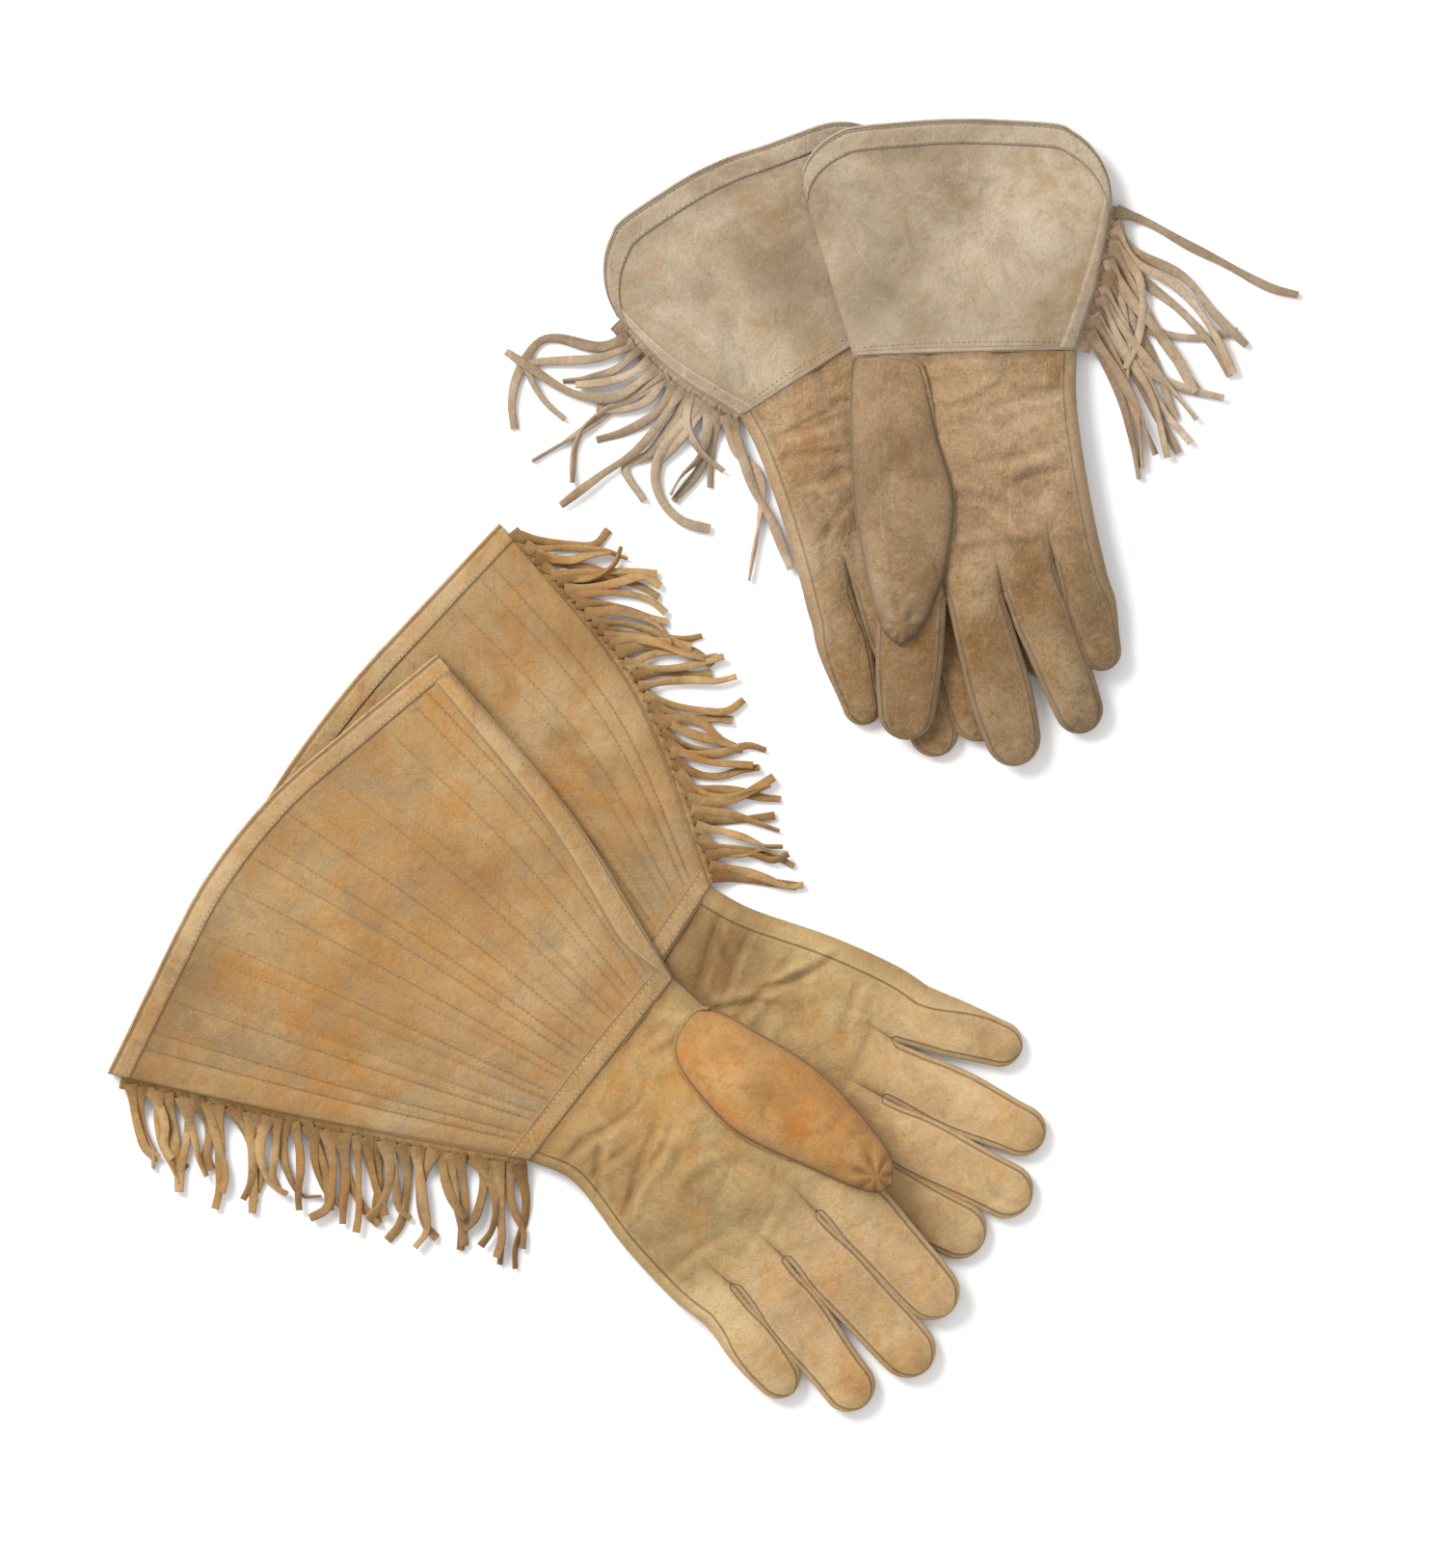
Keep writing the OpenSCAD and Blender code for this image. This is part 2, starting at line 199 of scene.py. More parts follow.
class Shell:
    """Collects grids of points in the row frame, in millimetres, with their shading values."""

    def __init__(self):
        self.points, self.faces, self.values, self.count = [], [], [], 0

    def grid(self, xyz, flip=False, closed=False, edge=FAR, row=FAR, stain_and_shade=0.0, tone_and_highlight=0.0):
        rows, cols = xyz.shape[:2]
        self.faces.append(grid_faces(rows, cols, flip, self.count, closed))
        self.points.append(xyz.reshape(-1, 3))
        each = [np.broadcast_to(v, (rows, cols)).reshape(-1) for v in (edge, row, stain_and_shade, tone_and_highlight)]
        self.values.append(np.stack(each, -1))
        self.count += rows * cols

    def piece(self, name, material, slot, nodes):
        points = np.concatenate(self.points)
        faces = np.concatenate(self.faces).astype(np.int32)
        values = np.concatenate(self.values)
        mesh = bpy.data.meshes.new(name)
        mesh.vertices.add(len(points))
        mesh.vertices.foreach_set("co", (points * MM).astype(np.float32).ravel())
        mesh.loops.add(faces.size)
        mesh.loops.foreach_set("vertex_index", faces.ravel())
        mesh.polygons.add(len(faces))
        mesh.polygons.foreach_set("loop_start", np.arange(0, faces.size, 4, dtype=np.int32))
        for k, key in enumerate(("edge", "row", "stain_and_shade", "tone_and_highlight")):
            layer = mesh.attributes.new(key, "FLOAT", "POINT")
            layer.data.foreach_set("value", values[:, k].astype(np.float32))
        mesh.update(calc_edges=True)
        mesh.polygons.foreach_set("use_smooth", np.ones(len(faces), bool))
        obj = link(name, mesh)
        mesh.materials.append(material)
        if nodes:
            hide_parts(*nodes)
        return obj


def share_normals(objects):
    """Smooths the shading across pieces that meet, by averaging the normals of points that coincide."""
    points, normals = [], []
    for obj in objects:
        mesh = obj.data
        n = len(mesh.vertices)
        co = np.empty(n * 3, np.float32)
        mesh.vertices.foreach_get("co", co)
        m = len(mesh.polygons)
        area, face_n = np.empty(m, np.float32), np.empty(m * 3, np.float32)
        mesh.polygons.foreach_get("area", area)
        mesh.polygons.foreach_get("normal", face_n)
        corner = np.empty(len(mesh.loops), np.int32)
        mesh.loops.foreach_get("vertex_index", corner)
        total = np.zeros((n, 3))
        weighted = np.repeat(face_n.reshape(-1, 3) * area[:, None], 4, axis=0)
        np.add.at(total, corner, weighted)
        points.append(co.reshape(-1, 3))
        normals.append(total)
    everything = np.concatenate(points)
    _, inverse = np.unique(np.round(everything / (0.02 * MM)).astype(np.int64), axis=0, return_inverse=True)
    inverse = inverse.reshape(-1)
    total = np.zeros((inverse.max() + 1, 3))
    np.add.at(total, inverse, np.concatenate(normals))
    shared = unit(total[inverse])
    first = 0
    for obj, p in zip(objects, points):
        obj.data.normals_split_custom_set_from_vertices(shared[first:first + len(p)].tolist())
        first += len(p)


def swept(path, across, up, section):
    """Rings of a section (points [across, up]) carried along a path."""
    return (path[:, None, :] + across[:, None, :] * section[None, :, :1]
            + up[:, None, :] * section[None, :, 1:2])


def rounded_section(width, height):
    w, h = width / 2, height / 2
    c = min(w, h) * 0.45
    return np.array([[-w, -h + c], [-w, h - c], [-w + c, h], [w - c, h], [w, h - c], [w, -h + c],
                     [w - c, -h], [-w + c, -h]])


# ---------------------------------------------------------------- materials


EXPOSURE = 1.40    # how much brighter than its own colour the studio light shows a matt surface


def tone(r, g, b):
    """Linear surface colour that looks like this screen colour, 0 to 255, in the studio light."""
    return tuple(((v / 255 + 0.055) / 1.055) ** 2.4 / EXPOSURE for v in (r, g, b)) + (1.0,)


class Nodes:
    """Short forms for the shader nodes that the leathers use."""

    def __init__(self, name):
        self.material = bpy.data.materials.new(name)
        self.material.use_nodes = True
        self.tree = self.material.node_tree
        self.tree.nodes.clear()

    def put(self, socket, value):
        if isinstance(value, bpy.types.NodeSocket):
            self.tree.links.new(value, socket)
        else:
            socket.default_value = value

    def add(self, kind, inputs=(), **settings):
        node = self.tree.nodes.new("ShaderNode" + kind)
        for key, value in settings.items():
            setattr(node, key, value)
        for key, value in dict(inputs).items():
            self.put(node.inputs[key], value)
        return node

    def math(self, operation, a, b=0.0, c=0.0):
        return self.add("Math", {0: a, 1: b, 2: c}, operation=operation).outputs[0]

    def within(self, value, low, high, to_low=0.0, to_high=1.0):
        return self.add("MapRange", {"Value": value, "From Min": low, "From Max": high, "To Min": to_low,
                                     "To Max": to_high}, interpolation_type="SMOOTHSTEP").outputs[0]

    def mix(self, amount, a, b, blend="MIX"):
        node = self.add("Mix", data_type="RGBA", blend_type=blend)
        self.put(node.inputs[0], amount)
        self.put(node.inputs[6], a)
        self.put(node.inputs[7], b)
        return node.outputs[2]

    def noise(self, vector, scale, detail=3.0, rough=0.55, distort=0.0):
        return self.add("TexNoise", {"Vector": vector, "Scale": scale, "Detail": detail, "Roughness": rough,
                                     "Distortion": distort}).outputs[0]

    def value(self, name):
        return self.add("Attribute", attribute_name=name, attribute_type="GEOMETRY").outputs["Fac"]


def leather(name, colours, seams, grain=1.0, blotch=1.0, wear=0.5, turn=0.0, line=0.5):
    """Suede and buckskin: soft stains, mottling, nap, pores, scuffs, seam lines and sewn rows, and the
    painted shade and painted highlights that the points carry.

    colours are the base, light, dark, stained and cool tones, and turn is the way of the streaks, degrees.
    """
    base, light, dark, stain, cool = (tone(*colour) for colour in colours)
    n = Nodes(name)
    where = n.add("TexCoord").outputs["Object"]
    along = n.add("Mapping", {"Vector": where, "Rotation": (0, 0, math.radians(turn)),
                              "Scale": (1.0, 0.2, 1.0)}).outputs[0]

    def moved(x, y):
        return n.add("VectorMath", {0: where, 1: (x, y, 0.0)}, operation="ADD").outputs[0]

    medium = n.noise(where, 70, 6, 0.66, 0.5)
    small = n.noise(moved(0.6, 0.9), 44, 6, 0.70, 1.0)
    streak = n.noise(along, 150, 4, 0.66, 1.2)
    nap = n.noise(where, 560, 4, 0.72)
    pores = n.noise(where, 1300, 2, 0.6)
    colour = n.mix(n.within(n.noise(where, 10, 4, 0.6, 0.5), 0.34, 0.68), base, light)
    for pattern, start, full, amount, tint in (
            (n.noise(moved(0.4, 0.2), 14, 5, 0.62, 0.8), 0.46, 0.74, 0.75 * blotch, dark),
            (n.noise(moved(0.1, 0.7), 17, 5, 0.66, 0.6), 0.48, 0.72, 0.80 * blotch, stain),
            (n.noise(moved(0.8, 0.5), 12, 5, 0.62, 0.6), 0.48, 0.72, 0.75 * blotch, cool),
            (medium, 0.50, 0.72, 0.32, dark), (medium, 0.48, 0.30, 0.36, light),
            (small, 0.52, 0.64, 0.42 * blotch, stain), (small, 0.46, 0.36, 0.38 * blotch, cool),
            (streak, 0.58, 0.70, 0.45 * wear, light), (streak, 0.40, 0.28, 0.40 * wear, dark),
            (nap, 0.44, 0.70, 0.26 * grain, dark), (nap, 0.46, 0.30, 0.28 * grain, light)):
        colour = n.mix(n.math("MULTIPLY", n.within(pattern, start, full), amount), colour, tint)
    across = n.add("Mapping", {"Vector": where, "Rotation": (0, 0, math.radians(turn + 55)),
                               "Scale": (1.0, 0.05, 1.0)}).outputs[0]
    scratch = n.within(n.noise(across, 420, 1, 0.4, 0.6), 0.74, 0.77)
    scratch = n.math("MULTIPLY", scratch, n.within(medium, 0.46, 0.56))
    colour = n.mix(n.math("MULTIPLY", scratch, 0.7 * wear), colour, light)
    specks = n.within(n.noise(where, 240, 2, 0.5), 0.71, 0.77)
    colour = n.mix(n.math("MULTIPLY", specks, 0.55 * wear), colour, seams)
    edge = n.value("edge")
    row = n.value("row")
    near = n.math("ABSOLUTE", n.math("SUBTRACT", edge, 2.3))
    seam = n.within(near, 0.18, 0.60, 1.0, 0.0)
    rubbed = n.math("MULTIPLY", n.within(near, 0.5, 2.6, 1.0, 0.0), n.within(medium, 0.40, 0.56))
    colour = n.mix(n.math("MULTIPLY", rubbed, 0.45), colour, light)
    colour = n.mix(n.within(edge, 0.6, 2.2, 0.4, 0.0), colour, light)
    colour = n.mix(n.math("MULTIPLY", seam, line), colour, seams)
    groove = n.within(row, 0.1, 1.0, 1.0, 0.0)
    colour = n.mix(n.math("MULTIPLY", groove, 0.14), colour, seams)
    # Darkening from the points' values: real stains and dirt, plus painted shade in creases, along edges and
    # at strand roots, mixed towards the seam colour.
    colour = n.mix(n.math("MULTIPLY", n.value("stain_and_shade"), 0.8), colour, seams)
    # Lightening from the points' values: the parts' own tone and rubbed places, plus painted highlights on
    # relief ridges and a painted light strip on the short cuffs.
    tone_and_highlight = n.value("tone_and_highlight")
    fade = n.math("SUBTRACT", 1.0, n.math("MULTIPLY", tone_and_highlight, 0.35))
    colour = n.add("HueSaturation", {"Saturation": fade, "Value": n.math("ADD", 1.0, tone_and_highlight),
                                     "Color": colour}).outputs[0]
    relief = n.math("ADD", n.math("MULTIPLY", nap, 0.75 * grain), n.math("MULTIPLY", pores, 0.35 * grain))
    relief = n.math("ADD", relief, n.math("MULTIPLY", medium, 1.6))
    relief = n.math("SUBTRACT", relief, n.math("MULTIPLY", seam, 1.1))
    relief = n.math("SUBTRACT", relief, n.math("MULTIPLY", groove, 0.6))
    bump = n.add("Bump", {"Strength": 0.75, "Distance": 0.0009, "Height": relief}).outputs[0]
    rough = n.within(medium, 0.3, 0.7, 0.78, 0.92)
    shader = n.add("BsdfPrincipled", {"Base Color": colour, "Roughness": rough, "Specular IOR Level": 0.2,
                                      "Sheen Weight": 0.10, "Sheen Roughness": 0.5, "Normal": bump})
    n.add("OutputMaterial", {"Surface": shader.outputs[0]})
    return n.material


GOLD_SEAM = tone(110, 68, 31)
GREY_SEAM = tone(92, 70, 48)
SKINS = {
    "long_hand": leather(
        "long_hand_buckskin",
        [(190, 151, 96), (214, 184, 130), (146, 98, 48), (198, 142, 66), (168, 143, 98)],
        GOLD_SEAM, blotch=1.1, turn=35, line=0.6),
    "long_thumb": leather(
        "long_thumb_buckskin",
        [(190, 136, 74), (206, 162, 104), (156, 98, 46), (204, 128, 50), (168, 122, 76)],
        GOLD_SEAM, blotch=1.4, turn=35),
    "long_cuff": leather(
        "long_cuff_buckskin",
        [(184, 144, 90), (204, 172, 124), (152, 108, 60), (196, 136, 64), (156, 138, 112)],
        GOLD_SEAM, blotch=0.95, turn=35),
    "long_trim": leather(
        "long_trim_buckskin",
        [(194, 153, 99), (214, 184, 138), (152, 108, 62), (196, 138, 68), (176, 148, 110)],
        GOLD_SEAM, blotch=1.0, wear=0.9, turn=35, line=0.4),
    "long_fringe": leather(
        "long_fringe_buckskin",
        [(184, 144, 90), (212, 178, 122), (128, 88, 48), (184, 130, 68), (148, 120, 84)],
        GOLD_SEAM, blotch=1.4, turn=80),
    "short_hand": leather(
        "short_hand_suede",
        [(179, 145, 106), (210, 181, 144), (128, 91, 56), (166, 122, 76), (146, 121, 92)],
        GREY_SEAM, grain=1.5, wear=1.0, turn=85, line=0.25),
    "short_cuff": leather(
        "short_cuff_suede",
        [(194, 173, 143), (212, 194, 166), (152, 126, 94), (180, 147, 107), (162, 148, 122)],
        GREY_SEAM, blotch=1.1, turn=80),
    "short_trim": leather(
        "short_trim_suede",
        [(187, 167, 140), (210, 192, 166), (142, 120, 92), (170, 140, 106), (160, 143, 119)],
        GREY_SEAM, wear=0.9, turn=80, line=0.3),
    "short_fringe": leather(
        "short_fringe_suede",
        [(195, 169, 138), (220, 199, 171), (142, 112, 80), (182, 146, 108), (164, 143, 118)],
        GREY_SEAM, blotch=1.2, turn=80),
}


def cloth_lining():
    """Twill lining inside the cuffs."""
    n = Nodes("cuff_lining_twill")
    where = n.add("TexCoord").outputs["Object"]
    weave = n.add("TexWave", {"Vector": where, "Scale": 900.0, "Distortion": 0.6},
                  bands_direction="DIAGONAL").outputs["Fac"]
    soiled = n.noise(where, 45, 4)
    colour = n.mix(n.math("MULTIPLY", weave, 0.5), tone(150, 132, 102), tone(112, 94, 70))
    colour = n.mix(n.within(soiled, 0.45, 0.7), colour, tone(104, 84, 60))
    bump = n.add("Bump", {"Strength": 0.5, "Distance": 0.0003, "Height": weave}).outputs[0]
    shader = n.add("BsdfPrincipled", {"Base Color": colour, "Roughness": 0.95, "Normal": bump})
    n.add("OutputMaterial", {"Surface": shader.outputs[0]})
    return n.material


def thread(name, base, dark):
    """Waxed sewing thread."""
    n = Nodes(name)
    where = n.add("TexCoord").outputs["Object"]
    twist = n.add("TexWave", {"Vector": where, "Scale": 1600.0, "Distortion": 1.0},
                  bands_direction="DIAGONAL").outputs["Fac"]
    darkening = n.noise(where, 180, 3)
    colour = n.mix(twist, base, dark)
    colour = n.mix(n.within(darkening, 0.5, 0.7), colour, dark)
    shader = n.add("BsdfPrincipled", {"Base Color": colour, "Roughness": 0.7})
    n.add("OutputMaterial", {"Surface": shader.outputs[0]})
    return n.material


LINING = cloth_lining()
THREADS = {"long": thread("long_thread", tone(168, 128, 80), tone(132, 94, 56)),
           "short": thread("short_thread", tone(166, 143, 114), tone(130, 106, 80))}

# ---------------------------------------------------------------- patterns and layings

PATTERNS = {
    "long": {
        "wrist": 106, "knuckles": [(-60, 108), (-40, 110), (-15.5, 120), (10, 119), (39, 120)],
        "pinky_edge": [(-46, 22), (-55, 58), (-60, 90)], "thumb_edge": [(50, 40), (46, 80)],
        "tips": [10.2, 12.2, 12.7, 13.0], "rows": 9, "hem": 8.5, "strip": 15, "band": 9.5,
        "finger_glow": 0.20,
        "folds": [((-56, 52), (6, 38), 1.0, 2.2), ((-50, 12), (-4, 20), 1.1, 2.0),
                  ((-50, 27), (-8, 31), 0.8, 1.8), ((50, 22), (12, 12), 0.7, 2.0),
                  ((-58, 78), (-20, 92), 0.7, 2.2), ((-30, 104), (8, 96), 0.5, 2.0),
                  ((14, 74), (-22, 62), 0.7, 2.4), ((44, 104), (12, 112), 0.6, 2.0)],
        "thumb_inner": [(40, 15.5), (29, 19), (22.5, 28), (18, 45), (16, 63), (18.5, 80), (23, 97),
                        (28.5, 119), (34, 132), (42, 135.5)],
        "thumb_outer": [(40, 15.5), (50, 17.5), (55.5, 28), (58.5, 47), (61, 64), (61.5, 79), (60, 95),
                        (57, 110), (52, 126), (42, 135.5)]},
    "short": {
        "wrist": 102, "knuckles": [(-61, 99), (-38, 98), (-14, 111), (12, 112), (43.5, 118)],
        "pinky_edge": [(-50, 22), (-52.5, 49), (-57, 79)], "thumb_edge": [(50, 60), (46, 100)],
        "tips": [9.6, 10.8, 13.0, 12.8], "rows": 0, "hem": 11, "strip": 0, "band": 0, "finger_glow": -0.17,
        "folds": [((-50, 18), (-6, 24), 0.9, 2.2), ((-48, 40), (0, 52), 0.8, 2.4),
                  ((14, 60), (-30, 76), 0.9, 2.4), ((10, 92), (-40, 84), 0.7, 2.2),
                  ((-52, 66), (-20, 58), 0.6, 2.0), ((40, 100), (10, 106), 0.6, 2.0),
                  ((12, 26), (-20, 14), 0.7, 2.0)],
        "thumb_inner": [(36, 1), (24, 3), (19, 10), (14, 38), (8, 60), (7.5, 75), (11, 93), (14.5, 106),
                        (23, 124), (34, 132.5)],
        "thumb_outer": [(36, 1), (47, 1), (52, 5), (54, 37), (53.5, 55), (52.5, 71), (50, 90), (47, 107),
                        (42, 124), (34, 132.5)]},
}

# Corners of the mouth are in the glove's frame. bows are how far the cuff's pinky side, thumb side and mouth
# stand out. thick is [wrist, palm, finger, mouth].
LAYINGS = {
    "long_right": {
        "pattern": "long", "over": None, "corner_p": (-138, -168), "corner_t": (101, -185), "round_p": (3, 3),
        "round_t": (3, 3), "bows": (15, 7, 10), "swing": 0, "wider": 9, "lengths": [51, 75, 81, 56],
        "thick": [8.5, 9.8, 9.6, 10.5], "thumb": (6.2, -13), "panel": 7, "seed": 3,
        "folds": [((-21, 46), (-62, 66), 1.7, 2.0), ((-4, 28), (-28, 58), 1.1, 2.0),
                  ((-44, 8), (-24, 30), 0.9, 2.0)],
        "marks": [(-32, 18, 32, 22, 0.46), (-30, 56, 10, 14, 0.22), (30, 158, 18, 34, 0.34),
                  (-66, 100, 6, 40, 0.22), (-64, 150, 9, 16, 0.25), (-20, 150, 40, 24, -0.08),
                  (-40, 185, 12, 12, 0.12)],
        "cuff_marks": [(-100, -150, 34, 34, 0.22), (-60, -110, 30, 60, 0.08), (-40, -40, 30, 26, 0.06)]},
    "long_left": {
        "pattern": "long", "over": "long_right", "corner_p": (-139, -173), "corner_t": (101, -173),
        "round_p": (3, 3), "round_t": (3, 3), "bows": (2, 7, 20), "swing": 0, "wider": 2,
        "lengths": [51, 75, 82, 57], "thick": [9.5, 11, 11, 13], "thumb": (9.5, 0), "panel": 3.2, "seed": 23,
        "folds": [((-52, 36), (-20, 18), 1.5, 2.0), ((-44, 50), (4, 30), 1.0, 2.2),
                  ((-58, 70), (-50, 100), 0.9, 1.8)],
        "marks": [(-44, 14, 18, 16, 0.30), (-30, 34, 16, 14, 0.10), (-8, 60, 24, 14, 0.08),
                  (-30, 140, 30, 24, -0.10), (10, 160, 18, 40, -0.10), (-62, 150, 8, 14, 0.2),
                  (-14, 196, 12, 8, 0.16)],
        "cuff_marks": [(-110, -168, 60, 22, 0.20), (0, -182, 90, 14, 0.14), (-30, -120, 50, 8, 0.10),
                       (30, -110, 14, 40, 0.10), (-10, -50, 50, 34, -0.05), (66, -40, 6, 18, 0.3)]},
    "short_left": {
        "pattern": "short", "over": None, "corner_p": (-74, -68), "corner_t": (72, -68), "round_p": (34, 37),
        "round_t": (33, 26), "bows": (4, 0, 4), "swing": 6.6, "wider": 0, "lengths": [54, 77, 76, 41],
        "thick": [8.5, 9.8, 9.6, 10.5], "thumb": (6.2, -4), "panel": 3.2, "seed": 43,
        "folds": [((-50, 26), (-12, 40), 1.0, 2.2)],
        "marks": [(-48, 60, 10, 40, 0.18), (-46, 26, 14, 12, -0.12), (-30, 130, 14, 40, 0.10)],
        "cuff_marks": [(10, -50, 26, 34, 0.26), (50, -60, 18, 40, 0.22), (-46, -40, 22, 30, -0.05),
                       (0, -94, 60, 9, 0.16)]},
    "short_right": {
        "pattern": "short", "over": "short_left", "corner_p": (-69, -67), "corner_t": (72, -78),
        "round_p": (34, 37), "round_t": (33, 26), "bows": (2, 0, 2), "swing": 0, "wider": 0,
        "lengths": [43, 70, 78, 41], "thick": [9.5, 11, 11, 12.5], "thumb": (7.5, 0), "panel": 3.2,
        "seed": 63,
        "folds": [((-16, 62), (-46, 52), 1.0, 2.2), ((4, 70), (-30, 92), 1.2, 2.4),
                  ((-4, 104), (-40, 110), 0.9, 2.2)],
        "marks": [(40, 40, 16, 50, 0.20), (-54, 90, 9, 40, 0.20), (-30, 34, 16, 22, -0.05),
                  (-12, 74, 14, 8, -0.12), (-30, 70, 26, 36, -0.07), (-10, 160, 20, 24, 0.10),
                  (34, 150, 20, 30, 0.16), (-50, 160, 14, 20, 0.12)],
        "cuff_marks": [(30, -40, 26, 40, 0.20), (-30, -20, 40, 10, 0.10), (30, -96, 34, 10, 0.20),
                       (-30, -60, 24, 30, -0.05), (50, -14, 14, 16, 0.16)]},
}

COLS = 24          # columns of the grid across one finger
ROW_STEP = 1.15    # spacing of the grid's rows, mm
LEATHER = 1.3      # thickness of the cuff's leather over its lining, mm
PALM = 112         # from the wrist seam to the knuckles, mm
ON_TABLE = 0.3     # height of a lower glove's underside, mm
LOWEST = 0.05      # lowest that a trim may reach, mm
CUFF_COLS = 131
KEY = ((-1.25, 1.15, 1.5), 1.2, 56)     # place, size and power of the two lamps
FILL = ((1.3, -1.0, 1.9), 1.6, 4)
TWIN = 0.17        # half the gap between the two lines of a sewn row, as a share of the rows' spacing


def marks(xy, spots):
    """Stains and rubbed places: (x, y, half width, half length, amount), rubbed where that is negative."""
    total = 0.0
    for x, y, a, b, amount in spots:
        ragged = 1 + 0.35 * waves(xy, 11, int(abs(x) + abs(y)))
        far = ((xy[..., 0] - x) / a) ** 2 + ((xy[..., 1] - y) / b) ** 2
        total = total + 1.35 * amount * np.exp(-far * ragged)
    return total


class Support:
    """What an upper glove lies on: the table, and the lower glove with a slope down from its edges."""

    STEP = 2.0
    HALF = 330.0

    def __init__(self):
        n = int(2 * self.HALF / self.STEP) + 1
        self.z = np.zeros((n, n))

    def cell(self, x, y):
        n = self.z.shape[0] - 1
        return (np.clip((x + self.HALF) / self.STEP, 0, n - 0.001),
                np.clip((y + self.HALF) / self.STEP, 0, n - 0.001))

    def lay(self, xyz):
        i, j = self.cell(xyz[:, 0], xyz[:, 1])
        np.maximum.at(self.z, (np.rint(i).astype(int), np.rint(j).astype(int)), xyz[:, 2])

    def settle(self, slope=0.2, reach=55, soften=5):
        around = [(-1, 0), (1, 0), (0, -1), (0, 1), (-1, -1), (1, 1), (-1, 1), (1, -1)]
        z = self.z
        for _ in range(reach):
            lower = [np.roll(z, d, (0, 1)) - slope * self.STEP * math.hypot(*d) for d in around]
            z = np.maximum.reduce([z] + lower)
        low = z.copy()
        for _ in range(soften):
            z = (z * 4 + sum(np.roll(z, d, (0, 1)) for d in around[:4])) / 8
        self.z = np.maximum(z, low) + 0.4

    def at(self, x, y):
        i, j = self.cell(x, y)
        a, b = i.astype(int), j.astype(int)
        fx, fy = i - a, j - b
        return (self.z[a, b] * (1 - fx) * (1 - fy) + self.z[a + 1, b] * fx * (1 - fy)
                + self.z[a, b + 1] * (1 - fx) * fy + self.z[a + 1, b + 1] * fx * fy)


